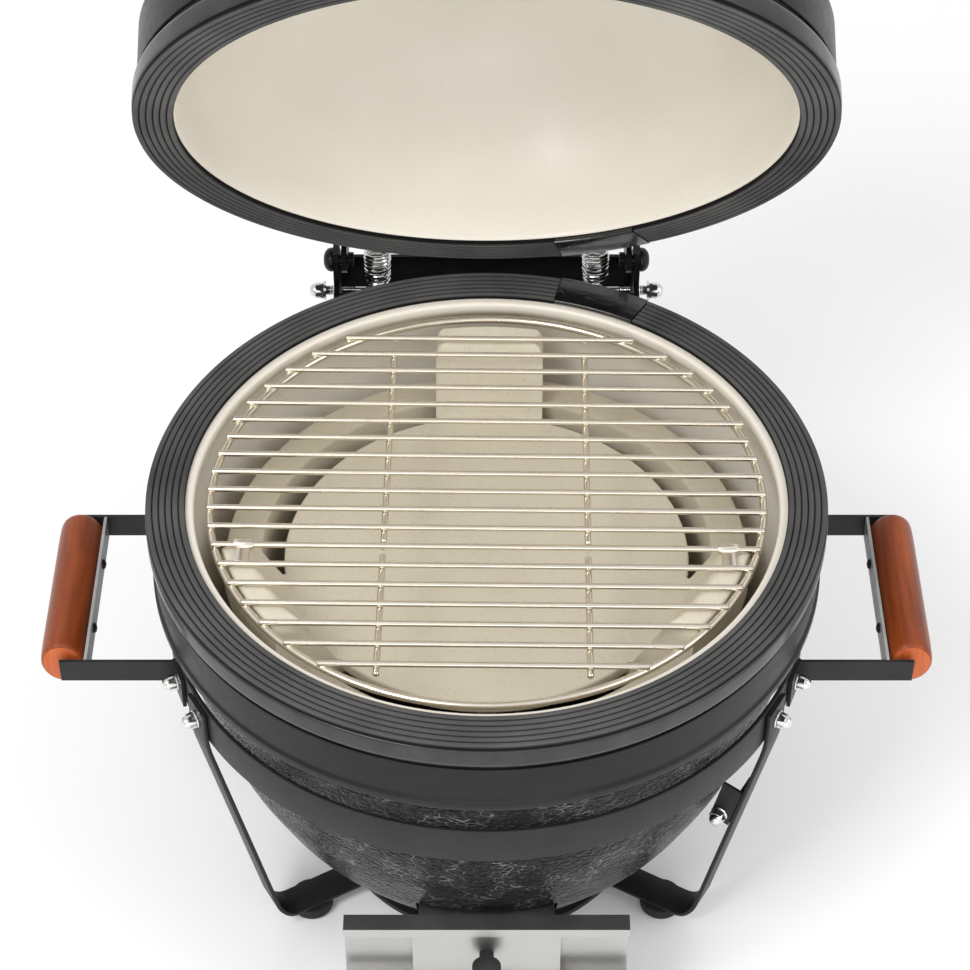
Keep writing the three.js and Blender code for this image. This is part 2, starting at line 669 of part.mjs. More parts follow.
// Stand: a ring round the bowl, three straps with feet, a small ring underneath
const [ringIn, ringOut] = RING_R;
const sideTab = tabAngle(ringOut);
const boltAngles = [...Object.values(STRAP_ANGLES), sideTab, -sideTab, 180 + sideTab, 180 - sideTab];
add(grill, 'stand_ring', cut(
  revolve([[ringIn, RING_Z[0]], [ringOut, RING_Z[0]], [ringOut, RING_Z[1]], [ringIn, RING_Z[1]]]),
  ...boltAngles.map((angle) => outward(boltHole(), angle, ringOut, STAND_BOLT_Z)),
), looks.paint);
add(grill, 'stand_base_ring', revolve([[82, -345.2], [114, -345.2], [114, -341], [82, -341]]), looks.paint);
for (const [name, angle] of Object.entries(STRAP_ANGLES)) {
  const leg = group(grill, `leg_${name}`, [0, 0, 0], [0, 0, angle]);
  add(leg, `leg_strap_${name}`, makeStrap(), looks.paint);
  const bolt = [ringOut + GAP + STRAP_T, 0, STAND_BOLT_Z];
  add(leg, `leg_bolt_${name}`, domeBolt(6.6), looks.steel, bolt, [0, 90, 0]);
  add(leg, `foot_${name}`, makeFoot(), looks.rubber, [FOOT_R, 0, 0]);
  if (name === 'right') {
    const down = (CLIP_Z - STRAP_BEND_Z) * Math.tan(STRAP_LEAN);
    const face = [ringOut + GAP + down, 0, CLIP_Z];
    const clip = group(leg, 'clip', face, [0, (STRAP_LEAN * 180) / Math.PI, 0]);
    add(clip, 'strap_clip', makeStrapClip(), looks.paint);
    add(clip, 'strap_clip_bolt', domeBolt(2.6), looks.steel, CLIP_BOLT_AT, [90, 0, 0]);
  }
}

// Two carrying handles on the stand
for (const [name, angle] of [['right', 0], ['left', 180]]) {
  const handle = group(grill, `handle_${name}`, [0, 0, 0], [0, 0, angle]);
  add(handle, `handle_arms_${name}`, handleArms(ringOut, HANDLE_TOP, 26, STAND_BOLT_Z), looks.paint);
  const middle = HANDLE_TOP - ARM_H / 2;
  add(handle, `grip_${name}`, handleGrip(), looks.wood, [ringOut + GRIP_OUT, 0, middle]);
  for (const s of [-1, 1]) {
    const end = (s > 0) === (angle === 0) ? 'rear' : 'front';
    const tab = group(handle, `tab_${name}_${end}`, [0, 0, 0], [0, 0, s * sideTab]);
    const at = [ringOut + GAP + ARM_T, 0, STAND_BOLT_Z];
    add(tab, `handle_bolt_${name}_${end}`, domeBolt(6.1), looks.steel, at, [0, 90, 0]);
  }
}

// Hinge, lower half
add(grill, 'base_hinge_bracket', makeBaseBracket(), looks.paint);
add(grill, 'spring_rod_base', nuttedRod(ROD_HALF), looks.steel, [0, ...BASE_ROD], [0, 90, 0]);
for (const [name, s] of [['left', -1], ['right', 1]]) {
  add(grill, `pivot_bolt_${name}`, pivotBolt(), looks.paint, [0, PIVOT_Y, PIVOT_Z], [0, 90 * s, 0]);
  add(grill, `hinge_spring_${name}`, makeSpring(), looks.steel, [s * SPRING_X, 0, 0]);
  add(grill, `base_clamp_bolt_${name}`, clampBolt(), looks.paint, [s * CLAMP_X, 0, -CLAMP_Z], [-90, 0, 0]);
}

// Lid, swung open about the pivot bolts
const hinge = group(grill, 'lid_hinge', [0, PIVOT_Y, PIVOT_Z], [-LID_OPEN, 0, 0]);
const dome = group(hinge, 'lid_parts', [0, -PIVOT_Y, -PIVOT_Z]);
add(dome, 'lid', makeLid(), looks.glaze);
addGasket(dome, 'lid', GAP);
add(dome, 'lid_hinge_bracket', makeLidBracket(), looks.paint);
add(dome, 'spring_rod_lid', rod(ROD_R, [-107.3, 107.3]), looks.steel, [0, ...LID_ROD], [0, 90, 0]);
const lidBoltZ = (BAND_Z[0] + BAND_Z[1]) / 2;
const lidTab = tabAngle(BAND_R[1]);
add(dome, 'lid_band', cut(
  revolve(mirrorZ(bandOutline).map(([r, z]) => [Math.min(r, BAND_R[1]), z])),
  ...[-1, 1].map((s) => outward(boltHole(), 270 + s * lidTab, BAND_R[1], lidBoltZ)),
), looks.paint);
const lifter = group(dome, 'lid_handle', [0, 0, 0], [0, 0, 270]);
add(lifter, 'lid_handle_arms', handleArms(BAND_R[1], LID_HANDLE_TOP, 26, lidBoltZ), looks.paint);
add(lifter, 'lid_grip', handleGrip(), looks.wood, [BAND_R[1] + GRIP_OUT, 0, LID_HANDLE_TOP - ARM_H / 2]);

// Thermometer, drawn along +Z and tipped to face the front
const gauge = group(dome, 'thermometer', DIAL_AT, [90 - DIAL_TIP, 0, 0]);
add(gauge, 'thermometer_case', makeThermometerCase(), looks.steel);
add(gauge, 'thermometer_dial', rod(33, [6.3, 7.5], 20), looks.dial);
add(gauge, 'thermometer_pointer', makePointer(), looks.tape);
add(gauge, 'thermometer_lens', rod(33, [13.5, 15.5], 20), looks.glass);

// Top vent
add(dome, 'vent_collar', makeVentCollar(), looks.iron);
add(dome, 'vent_cap', makeVentCap(), looks.iron);
add(dome, 'vent_pin', ventPin(), looks.steel, [60, 0, 0]);
add(dome, 'daisy_wheel', makeDaisyWheel(), looks.iron);
add(dome, 'daisy_pin', daisyPin(), looks.steel);

export default grill;
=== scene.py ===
import json
import math

import bmesh
import bpy
from mathutils import Matrix, Vector

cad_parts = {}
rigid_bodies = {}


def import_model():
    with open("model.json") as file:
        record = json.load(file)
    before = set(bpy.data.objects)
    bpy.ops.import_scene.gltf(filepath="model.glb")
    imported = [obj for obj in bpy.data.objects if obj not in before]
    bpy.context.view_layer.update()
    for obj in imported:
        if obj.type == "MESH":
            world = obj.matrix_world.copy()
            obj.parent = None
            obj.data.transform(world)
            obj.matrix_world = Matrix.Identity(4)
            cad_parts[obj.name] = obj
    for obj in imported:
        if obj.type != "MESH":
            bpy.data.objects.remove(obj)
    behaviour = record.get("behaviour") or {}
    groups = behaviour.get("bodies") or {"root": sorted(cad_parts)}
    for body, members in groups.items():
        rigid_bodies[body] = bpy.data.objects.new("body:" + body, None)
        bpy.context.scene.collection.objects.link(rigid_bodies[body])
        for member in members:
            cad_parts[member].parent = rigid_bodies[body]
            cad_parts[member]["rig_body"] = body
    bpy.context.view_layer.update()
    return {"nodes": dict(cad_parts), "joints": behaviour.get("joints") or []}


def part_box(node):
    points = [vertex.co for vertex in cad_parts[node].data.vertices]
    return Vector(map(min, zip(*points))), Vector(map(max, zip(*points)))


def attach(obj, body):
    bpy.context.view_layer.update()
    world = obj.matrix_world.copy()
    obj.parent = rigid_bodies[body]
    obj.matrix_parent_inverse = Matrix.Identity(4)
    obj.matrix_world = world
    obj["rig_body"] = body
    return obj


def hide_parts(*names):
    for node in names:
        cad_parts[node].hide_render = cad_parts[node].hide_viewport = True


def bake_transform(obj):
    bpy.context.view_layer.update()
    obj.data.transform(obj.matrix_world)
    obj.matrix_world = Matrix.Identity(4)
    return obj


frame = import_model()

# ------------------------------------------------------------------ the drawing frame
# Pieces are drawn in millimetres about the bowl's axis with the lid shut and z = 0 at
# the top of the base gasket, then moved into the model's frame, in metres.
LOW, HIGH = (Vector(v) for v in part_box("bowl"))
AXIS_Y = (LOW.y + HIGH.y) / 2 * 1000
RIM_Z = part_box("base_gasket")[1][2] * 1000
HINGE = next(joint for joint in frame["joints"] if joint["name"] == "lid_hinge")
PIVOT = Vector(HINGE["pos_m"]) * 1000 - Vector((0, AXIS_Y, RIM_Z))
OPEN = math.radians(max(HINGE["range_deg"]))
SETTLE = Matrix.Scale(0.001, 4) @ Matrix.Translation((0, AXIS_Y, RIM_Z))
SWING = Matrix.Translation(PIVOT) @ Matrix.Rotation(-OPEN, 4, "X") @ Matrix.Translation(-PIVOT)
TAU = math.tau

# Sizes that several pieces share, in millimetres, and angles about the axis in degrees.
FLOOR_Z = -360
RIM_R, GROOVE_R = 230, 225.2  # outside of the ceramic at the joint and under the bands
GROOVE = (19, 23, 66)  # top, full depth and end of that groove, from the joint outwards
LIP_R, MOUTH_R = 197.5, 202  # inside of the bowl's lip and of the lid's edge
CERAMIC_EDGE = (-4.3, 4.6)  # faces of the bowl and the lid under their gaskets
GASKET_IN, GASKET_OUT = 203.0, 229.5
COVER = (59, 76)  # the cover over the joint of each gasket
BAND_IN, BAND_OUT, BAND_END = 225.6, 227.4, 62
RING_IN, RING_OUT, RING_LOW, RING_TOP = 219, 222, -122, -92
CROWN_Z = 212  # top of the lid, under the vent
BOLT_Z = -107  # bolts of the straps and of the side handles
SET_TURN = Matrix.Rotation(math.radians(-0.8), 4, "Z")  # grate and deflector lie a little askew


def rot_z(deg):
    return Matrix.Rotation(math.radians(deg), 4, "Z")


def outward(deg, radius, z):
    """Sends +Z of a drawing outwards at an angle about the axis."""
    return rot_z(deg) @ Matrix.Translation((radius, 0, z)) @ Matrix.Rotation(math.pi / 2, 4, "Y")


def across(y, z, flip=False):
    """Sends +Z of a drawing along +X, or -X if flipped."""
    return Matrix.Translation((0, y, z)) @ Matrix.Rotation(-math.pi / 2 if flip else math.pi / 2, 4, "Y")


def placed(on_lid, move=None):
    """Takes a drawing to the model's frame, after a move of its own."""
    return SETTLE @ (SWING if on_lid else Matrix.Identity(4)) @ (move or Matrix.Identity(4))


# ------------------------------------------------------------------ materials
def rgb(r, g, b):
    """Linear colour of an sRGB colour in 0 to 255."""
    lin = [c / 255 / 12.92 if c < 10 else ((c / 255 + 0.055) / 1.055) ** 2.4 for c in (r, g, b)]
    return (*lin, 1)


class Look:
    """A principled material with a few short ways to add nodes."""

    def __init__(self, name, colour, roughness=0.5, metallic=0.0, **sockets):
        self.mat = bpy.data.materials.new(name)
        self.mat.use_nodes = True
        self.tree = self.mat.node_tree
        self.shader = self.tree.nodes["Principled BSDF"]
        self.set(Base_Color=colour, Roughness=roughness, Metallic=metallic, **sockets)
        self.normal = None

    def set(self, **sockets):
        for key, value in sockets.items():
            self.shader.inputs[key.replace("_", " ")].default_value = value

    def node(self, kind, inputs=None, **props):
        n = self.tree.nodes.new(kind)
        for key, value in props.items():
            setattr(n, key, value)
        for key, value in (inputs or {}).items():
            if isinstance(value, bpy.types.NodeSocket):
                self.tree.links.new(value, n.inputs[key])
            else:
                n.inputs[key].default_value = value
        return n

    def link(self, socket, name):
        self.tree.links.new(socket, self.shader.inputs[name])

    def coords(self, stretch=(1, 1, 1)):
        """Object coordinates in metres, each axis multiplied by its own number."""
        tc = self.node("ShaderNodeTexCoord")
        mapping = self.node("ShaderNodeMapping", {"Vector": tc.outputs["Object"], "Scale": stretch})
        return mapping.outputs["Vector"]

    def noise(self, scale, detail=4.0, rough=0.5, vector=None, distortion=0.0):
        n = self.node("ShaderNodeTexNoise", {
            "Vector": vector or self.coords(), "Scale": scale, "Detail": detail,
            "Roughness": rough, "Distortion": distortion})
        return n.outputs["Fac"]

    def cells(self, scale, vector):
        """Distance from the edges of irregular cells."""
        n = self.node("ShaderNodeTexVoronoi", {"Vector": vector, "Scale": scale}, feature="DISTANCE_TO_EDGE")
        return n.outputs["Distance"]

    def ramp(self, fac, stops, interpolation="LINEAR"):
        n = self.node("ShaderNodeValToRGB", {"Fac": fac})
        n.color_ramp.interpolation = interpolation
        while len(n.color_ramp.elements) < len(stops):
            n.color_ramp.elements.new(0.5)
        for el, (at, colour) in zip(n.color_ramp.elements, stops):
            el.position = at
            el.color = colour if len(colour) == 4 else (*colour, 1)
        return n.outputs["Color"]

    def mottle(self, scale, detail, low, high, at=(0.3, 0.7)):
        """Cloudy colour between two sRGB colours."""
        return self.ramp(self.noise(scale, detail), [(at[0], rgb(*low)), (at[1], rgb(*high))])

    def grey(self, fac, low, high, a=0.0, b=1.0):
        """Maps a value from a..b to low..high."""
        n = self.node("ShaderNodeMapRange", {
            "Value": fac, "From Min": a, "From Max": b, "To Min": low, "To Max": high})
        return n.outputs["Result"]

    def math(self, op, a, b=0.0):
        return self.node("ShaderNodeMath", {0: a, 1: b}, operation=op).outputs[0]

    def mix(self, fac, a, b, blend="MIX"):
        """Mixes colour b into colour a."""
        n = self.node("ShaderNodeMix", {0: fac, 6: a, 7: b}, data_type="RGBA", blend_type=blend)
        return n.outputs[2]

    def bump(self, height, distance, strength=1.0):
        """Adds relief, distance being the height in metres of a step from 0 to 1."""
        inputs = {"Height": height, "Distance": distance, "Strength": strength}
        if self.normal is not None:
            inputs["Normal"] = self.normal
        n = self.node("ShaderNodeBump", inputs)
        self.normal = n.outputs["Normal"]
        self.link(self.normal, "Normal")


def crackle_glaze():
    """Glossy black, cracked into pale veins that show in patches."""
    look = Look("crackle_glaze", rgb(6, 6, 7), 0.2, Specular_IOR_Level=0.13)
    warp = look.node("ShaderNodeVectorMath", {0: look.noise(60, 2), "Scale": 0.01}, operation="SCALE")
    place = look.node("ShaderNodeVectorMath", {0: look.coords((1, 1, 1.7)), 1: warp.outputs[0]},
                      operation="ADD")
    edge = look.cells(120, place.outputs[0])
    fine = look.cells(420, place.outputs[0])
    vein = look.ramp(edge, [(0.0, (1, 1, 1)), (0.045, (0.3, 0.3, 0.3)), (0.08, (0, 0, 0))])
    gate = look.ramp(look.noise(34, 3), [(0.47, (0, 0, 0)), (0.6, (1, 1, 1))])
    lit = look.math("MULTIPLY", vein, gate)
    cloud = look.mottle(25, 4, (2, 2, 3), (9, 9, 10), (0.35, 0.7))
    look.link(look.mix(lit, cloud, rgb(118, 118, 120)), "Base Color")
    look.link(look.grey(vein, 0.16, 0.45), "Roughness")
    look.bump(look.grey(edge, 0, 1, 0, 0.22), 0.0010)
    look.bump(look.grey(fine, 0, 1, 0, 0.2), 0.00015)
    return look


def smooth_glaze():
    look = Look("smooth_glaze", rgb(40, 40, 41), 0.2, Specular_IOR_Level=0.3)
    look.link(look.mottle(40, 4, (40, 40, 41), (54, 54, 55)), "Base Color")
    look.link(look.grey(look.noise(90, 3), 0.14, 0.32), "Roughness")
    look.bump(look.noise(55, 3), 0.0005, 0.5)
    return look


def cream_glaze():
    look = Look("cream_glaze", rgb(212, 206, 192), 0.35)
    colour = look.mottle(7, 3, (220, 214, 202), (228, 223, 212))
    speck = look.ramp(look.noise(420, 2), [(0.70, (1, 1, 1)), (0.78, rgb(205, 190, 160))])
    look.link(look.mix(0.35, colour, speck, "MULTIPLY"), "Base Color")
    look.link(look.grey(look.noise(60, 3), 0.26, 0.46), "Roughness")
    look.bump(look.noise(30, 3), 0.0008, 0.5)
    look.bump(look.noise(300, 2), 0.0001)
    return look


def refractory(name="refractory", low=(208, 200, 181), high=(218, 211, 194)):
    look = Look(name, rgb(*low), 0.8)
    patch = look.mottle(9, 5, low, high)
    speck = look.ramp(look.noise(600, 2), [(0.62, (1, 1, 1)), (0.75, rgb(196, 180, 150))])
    look.link(look.mix(0.5, patch, speck, "MULTIPLY"), "Base Color")
    look.link(look.grey(look.noise(50, 3), 0.7, 0.92), "Roughness")
    look.bump(look.noise(240, 5), 0.0004)
    look.bump(look.noise(28, 3), 0.0010, 0.4)
    return look


def raw_clay():
    look = Look("raw_clay", rgb(188, 172, 146), 0.92)
    look.link(look.mottle(200, 5, (176, 160, 134), (202, 188, 164)), "Base Color")
    look.bump(look.noise(420, 4), 0.0005)
    return look


RIBS = 6
RIB = (GASKET_OUT - GASKET_IN) / RIBS


def gasket():
    """A braided flat gasket: UV is metres along and across it."""
    look = Look("gasket", rgb(60, 60, 61), 0.92, Specular_IOR_Level=0.2)
    tc = look.node("ShaderNodeTexCoord")
    xyz = look.node("ShaderNodeSeparateXYZ", {"Vector": tc.outputs["UV"]})
    along = look.math("MULTIPLY", xyz.outputs["X"], 1000 / 2.2)
    fold = look.math("PINGPONG", look.math("MULTIPLY", xyz.outputs["Y"], 1000 / RIB), 0.5)
    slant = look.math("ADD", along, look.math("MULTIPLY", fold, 3.2))
    wave = look.math("SINE", look.math("MULTIPLY", slant, TAU))
    yarn = look.grey(wave, 0, 1, -1, 1)
    fibre = look.noise(2600, 3)
    tone = look.mottle(14, 3, (68, 68, 69), (96, 95, 94))
    # Painted shade: the low parts of the weave are darkened towards near black.
    colour = look.mix(look.grey(yarn, 0.22, 0.0), tone, rgb(26, 26, 27))
    colour = look.mix(look.grey(fibre, 0.0, 0.35, 0.5, 0.8), colour, rgb(112, 112, 113))
    # Painted shade: the valleys between the ribs are mixed to near black.
    groove = look.ramp(fold, [(0.0, (1, 1, 1)), (0.09, (0.55, 0.55, 0.55)), (0.17, (0, 0, 0))])
    look.link(look.mix(groove, colour, rgb(9, 9, 10)), "Base Color")
    look.bump(yarn, 0.00022)
    look.bump(fibre, 0.0002)
    return look


def tape():
    look = Look("tape", rgb(9, 9, 10), 0.18, Coat_Weight=0.5, Coat_Roughness=0.08)
    look.link(look.grey(look.noise(80, 3), 0.12, 0.34), "Roughness")
    look.link(look.mottle(30, 3, (5, 5, 6), (20, 20, 21), (0.3, 0.75)), "Base Color")
    look.bump(look.noise(95, 3, distortion=0.6), 0.0012, 0.6)
    return look


def powder_coat(name="powder_coat", low=(30, 30, 31), high=(38, 38, 39), gloss=0.42):
    look = Look(name, rgb(*low), gloss, Specular_IOR_Level=0.22)
    look.link(look.mottle(30, 4, low, high), "Base Color")
    look.link(look.grey(look.noise(180, 3), gloss - 0.08, gloss + 0.12), "Roughness")
    look.bump(look.noise(900, 3), 0.00012)
    return look


def steel(name, colour, roughness, brushed=None, low=0.08, high=0.12):
    """Roughness runs from low under to high over its value; brushed is the stretch of its lines."""
    look = Look(name, colour, roughness, 1.0)
    line = look.noise(120 if brushed else 60, 5, 0.7, look.coords(brushed or (1, 1, 1)))
    look.link(look.grey(line, roughness - low, roughness + high), "Roughness")
    tone = look.mix(look.grey(look.noise(45, 4), 0, 0.25), colour, rgb(150, 142, 128))
    look.link(tone, "Base Color")
    look.bump(line, 0.00004 if brushed else 0.00008)
    return look


def cast_iron():
    look = Look("cast_iron", rgb(34, 34, 35), 0.6, 0.3)
    look.link(look.mottle(60, 4, (26, 26, 27), (46, 45, 45)), "Base Color")
    look.link(look.grey(look.noise(300, 3), 0.5, 0.8), "Roughness")
    look.bump(look.noise(700, 4), 0.00035)
    return look


def wood(name, axis, stops=((92, 36, 10), (126, 56, 19), (146, 68, 25), (166, 84, 36))):
    """Oiled red-brown wood, its grain along an axis."""
    look = Look(name, rgb(116, 48, 22), 0.36, Specular_IOR_Level=0.3, Coat_Weight=0.04, Coat_Roughness=0.25)
    streak = look.noise(8, 5, 0.55, look.coords([1.0 if i == axis else 12.0 for i in range(3)]), 0.3)
    colour = look.ramp(streak, [(at, rgb(*c)) for at, c in zip((0.25, 0.45, 0.6, 0.8), stops)])
    pores = look.noise(60, 4, 0.7, look.coords([1.0 if i == axis else 24.0 for i in range(3)]))
    dark = look.ramp(pores, [(0.30, rgb(150, 96, 66)), (0.44, (1, 1, 1))])
    look.link(look.mix(0.35, colour, dark, "MULTIPLY"), "Base Color")
    look.link(look.grey(streak, 0.3, 0.46), "Roughness")
    look.bump(pores, 0.00015)
    return look


def rubber():
    look = Look("rubber", rgb(20, 20, 20), 0.85)
    look.link(look.mottle(90, 3, (16, 16, 16), (30, 30, 30)), "Base Color")
    look.bump(look.noise(900, 3), 0.0002)
    return look


def enamel(name, colour):
    look = Look(name, colour, 0.45)
    look.link(look.grey(look.noise(80, 3), 0.38, 0.55), "Roughness")
    look.bump(look.noise(500, 2), 0.00003)
    return look


def glass():
    look = Look("lens_glass", (1, 1, 1, 1), 0.03, Transmission_Weight=1.0, IOR=1.45)
    look.link(look.grey(look.noise(20, 2), 0.02, 0.06), "Roughness")
    return look


CRACKLE, SMOOTH, CREAM, CLAY = crackle_glaze(), smooth_glaze(), cream_glaze(), raw_clay()
CERAMIC = [CRACKLE, SMOOTH, CREAM, CLAY]
FIRE, GASKET, TAPE = refractory(), gasket(), tape()
# The firebox pot takes a darker copy of the refractory: painted shade for its place low in the bowl, under
# the deflector.
POT = refractory("refractory_pot", (190, 181, 160), (201, 193, 174))
PAINT = powder_coat()
BAND = powder_coat("band_coat", (20, 20, 21), (27, 27, 28), 0.34)
RIVET = powder_coat("black_bolt", (8, 8, 9), (14, 14, 15), 0.35)
BRIGHT = steel("bright_steel", rgb(226, 226, 224), 0.14, low=0.05, high=0.08)
# The grate steel's warm colour is partly its own and partly painted reflection of the cream inside of the
# bowl.
WIRE = steel("grate_steel", rgb(236, 228, 214), 0.22, low=0.08, high=0.1)
BRUSHED = steel("brushed_steel", rgb(196, 196, 194), 0.34, brushed=(1, 40, 40))
IRON, RUBBER, GLASS = cast_iron(), rubber(), glass()
WOOD_Y, WOOD_X = wood("wood_side", 1), wood("wood_lid", 0)
SATIN = powder_coat("satin_coat", (30, 30, 31), (38, 38, 39), 0.38)
# The grip strip's pale grey is partly bare metal's own colour and partly painted reflection of the white
# surroundings.
STRIP = powder_coat("grip_strip", (150, 150, 150), (172, 172, 172), 0.4)
END_GRAIN = wood("wood_end", 2, ((150, 66, 28), (172, 82, 38), (188, 94, 46), (204, 110, 60)))
DIAL, INK = enamel("dial_face", rgb(236, 234, 226)), enamel("dial_ink", rgb(20, 20, 22))


# ------------------------------------------------------------------ mesh tools
class Shape:
    """Points, faces, UVs and material numbers, gathered in millimetres."""

    def __init__(self):
        self.points, self.faces, self.uvs, self.slots = [], [], [], []

    def add(self, points, faces, uvs=None, slots=None, move=None):
        first = len(self.points)
        self.points += [move @ Vector(p) for p in points] if move else [Vector(p) for p in points]
        self.faces += [[first + i for i in f] for f in faces]
        self.uvs += uvs or [[(0, 0)] * len(f) for f in faces]
        self.slots += slots or [0] * len(faces)
        return self

    def join(self, other, move=None):
        return self.add(other.points, other.faces, other.uvs, other.slots, move)

    def mesh(self, name, move):
        m = bpy.data.meshes.new(name)
        m.from_pydata([move @ p for p in self.points], [], self.faces)
        layer = m.uv_layers.new(name="UVMap")
        flat = [c for face in self.uvs for uv in face for c in uv]
        layer.data.foreach_set("uv", flat)
        m.polygons.foreach_set("material_index", self.slots)
        m.validate()
        return m


def revolve(profile, sides=144, arc=None, hexagon=None, slots=None):
    """A closed profile of (radius, z) turned about Z, all round or between two angles.
    hexagon is {row: width across flats}; slots gives each profile edge a material."""
    area = sum(a[0] * b[1] - b[0] * a[1] for a, b in zip(profile, profile[1:] + profile[:1]))
    if area < 0:
        count = len(profile)
        profile = profile[::-1]
        if slots:
            slots = [slots[(count - 2 - i) % count] for i in range(count)]
        if hexagon:
            hexagon = {count - 1 - i: w for i, w in hexagon.items()}
    n = len(profile)
    start, stop = (math.radians(a) for a in arc) if arc else (0.0, TAU)
    rings = sides if not arc else sides + 1
    shape = Shape()
    run = [0.0]
    for a, b in zip(profile, profile[1:] + profile[:1]):
        run.append(run[-1] + math.hypot(b[0] - a[0], b[1] - a[1]))
    where = {}
    points = []
    for i, (r, z) in enumerate(profile):
        for s in range(rings):
            if r <= 1e-6 and s > 0:
                where[i, s] = where[i, 0]
                continue
            t = start + (stop - start) * s / sides
            rr = r
            if hexagon and i in hexagon:
                half = hexagon[i] / 2
                rr = min(r, half / math.cos((t % (TAU / 6)) - TAU / 12))
            where[i, s] = len(points)
            points.append((rr * math.cos(t), rr * math.sin(t), z))
    faces, uvs, numbers = [], [], []
    mean = sum(p[0] for p in profile) / n
    for i in range(n):
        j = (i + 1) % n
        if profile[i][0] <= 1e-6 and profile[j][0] <= 1e-6:
            continue
        for s in range(sides):
            s2 = s + 1 if arc else (s + 1) % sides
            corners = [(i, s, s), (i, s2, s + 1), (j, s2, s + 1), (j, s, s)]
            face, uv = [], []
            for k, ss, u in corners:
                v = where[k, ss]
                if v in face:
                    continue
                face.append(v)
                t = start + (stop - start) * u / sides
                uv.append((t * mean / 1000, run[i + (k != i)] / 1000))
            if len(face) > 2:
                faces.append(face)
                uvs.append(uv)
                numbers.append(slots[i] if slots else 0)
    if arc:
        for s, flip in ((0, True), (sides, False)):
            cap = [where[i, s] for i in range(n)]
            faces.append(cap if flip else cap[::-1])
            uvs.append([(0, 0)] * n)
            numbers.append(0)
    return shape.add(points, faces, uvs, numbers)


def rounded(outline, radius, steps=3, only=None):
    """Rounds the corners of a closed outline."""
    out = []
    n = len(outline)
    for i, p in enumerate(outline):
        p = Vector(p)
        r = radius if only is None or i in only else 0
        a, b = Vector(outline[i - 1]) - p, Vector(outline[(i + 1) % n]) - p
        if abs(p.x) <= 1e-6 or r <= 0:
            out.append(tuple(p))
            continue
        r = min(r, a.length * 0.45, b.length * 0.45)
        a, b = a.normalized() * r, b.normalized() * r
        for k in range(steps + 1):
            t = k / steps
            q = p + a * (1 - t) ** 2 + b * t ** 2
            out.append(tuple(q))
    return out


def sweep(path, section, up=None):
    """Carries a closed section, in (side, other) millimetres, along a path. Stretching it
    across a corner keeps a bar's thickness there."""
    at = [Vector(p) for p in path]
    n, m = len(at), len(section)
    points, run = [], [0.0]
    side = None
    for i, p in enumerate(at):
        back, ahead = at[max(i - 1, 0)], at[min(i + 1, n - 1)]
        along = (ahead - back).normalized()
        if up:
            side = Vector(up)
        elif side is None:
            side = Vector((0, 0, 1)) if abs(along.z) < 0.9 else Vector((1, 0, 0))
        side = (side - along * side.dot(along)).normalized()
        other = along.cross(side)
        stretch, inward = 1.0, Vector()
        if 0 < i < n - 1:
            d1, d2 = (p - back).normalized(), (ahead - p).normalized()
            stretch = 1 / max(0.4, math.sqrt(max(0.0, (1 + d1.dot(d2)) / 2)))
            inward = (d2 - d1).normalized()
        for a, b in section:
            v = side * a + other * b
            if stretch > 1.0005:
                v = v + inward * v.dot(inward) * (stretch - 1)
            points.append(p + v)
        if i:
            run.append(run[-1] + (p - back).length)
    around = [0.0]
    for a, b in zip(section, section[1:] + section[:1]):
        around.append(around[-1] + math.hypot(b[0] - a[0], b[1] - a[1]))
    faces, uvs = [], []
    for i in range(n - 1):
        for s in range(m):
            s2 = (s + 1) % m
            faces.append([i * m + s, i * m + s2, (i + 1) * m + s2, (i + 1) * m + s])
            uvs.append([(run[j] / 1000, around[k] / 1000)
                        for j, k in ((i, s), (i, s + 1), (i + 1, s + 1), (i + 1, s))])
    faces += [list(range(m))[::-1], [(n - 1) * m + s for s in range(m)]]
    uvs += [[(0, 0)] * m] * 2
    return Shape().add(points, faces, uvs)


def circle(radius, sides=12):
    return [(radius * math.cos(TAU * s / sides), radius * math.sin(TAU * s / sides)) for s in range(sides)]


def wire(path, radius, sides=12):
    """A round wire whose ends are slightly domed."""
    at = [Vector(p) for p in path]
    shape = sweep(at, circle(radius, sides))
    shape.faces = shape.faces[:-2]  # the domes replace the flat ends
    for end, inner, first in ((at[0], at[1], 0), (at[-1], at[-2], (len(at) - 1) * sides)):
        out = (end - inner).normalized() * radius * 0.45
        ring = shape.points[first:first + sides]
        base = len(shape.points)
        shape.points += [end + (p - end) * 0.72 + out * 0.75 for p in ring] + [end + out]
        for s in range(sides):
            s2 = (s + 1) % sides
            quad = [first + s, first + s2, base + s2, base + s]
            tri = [base + s, base + s2, base + sides]
            shape.faces += [quad, tri] if first else [quad[::-1], tri[::-1]]
    shape.uvs = [[(0, 0)] * len(f) for f in shape.faces]
    shape.slots = [0] * len(shape.faces)
    return shape


def bar(width, thickness, round_by=0.6):
    """Section of a flat bar, its width along the first direction."""
    w, t = width / 2, thickness / 2
    corners = [(-w, -t), (w, -t), (w, t), (-w, t)]
    out = []
    for x, y in corners:
        base = {(-1, -1): 180, (1, -1): 270, (1, 1): 0, (-1, 1): 90}[(x > 0) * 2 - 1, (y > 0) * 2 - 1]
        for a in (math.radians(base + 45 * k) for k in range(3)):
            out.append((x - math.copysign(round_by, x) + round_by * math.cos(a),
                        y - math.copysign(round_by, y) + round_by * math.sin(a)))
    return out


def bend(points, radius, steps=6):
    """Rounds the inner corners of an open path."""
    at = [Vector(p) for p in points]
    out = [at[0]]
    for a, p, b in zip(at, at[1:], at[2:]):
        r = min(radius, (a - p).length * 0.45, (b - p).length * 0.45)
        u, w = (a - p).normalized() * r, (b - p).normalized() * r
        out += [p + u * (1 - k / steps) ** 2 + w * (k / steps) ** 2 for k in range(steps + 1)]
    return out + [at[-1]]


def new_object(name, data):
    obj = bpy.data.objects.new(name, data)
    bpy.context.collection.objects.link(obj)
    return obj


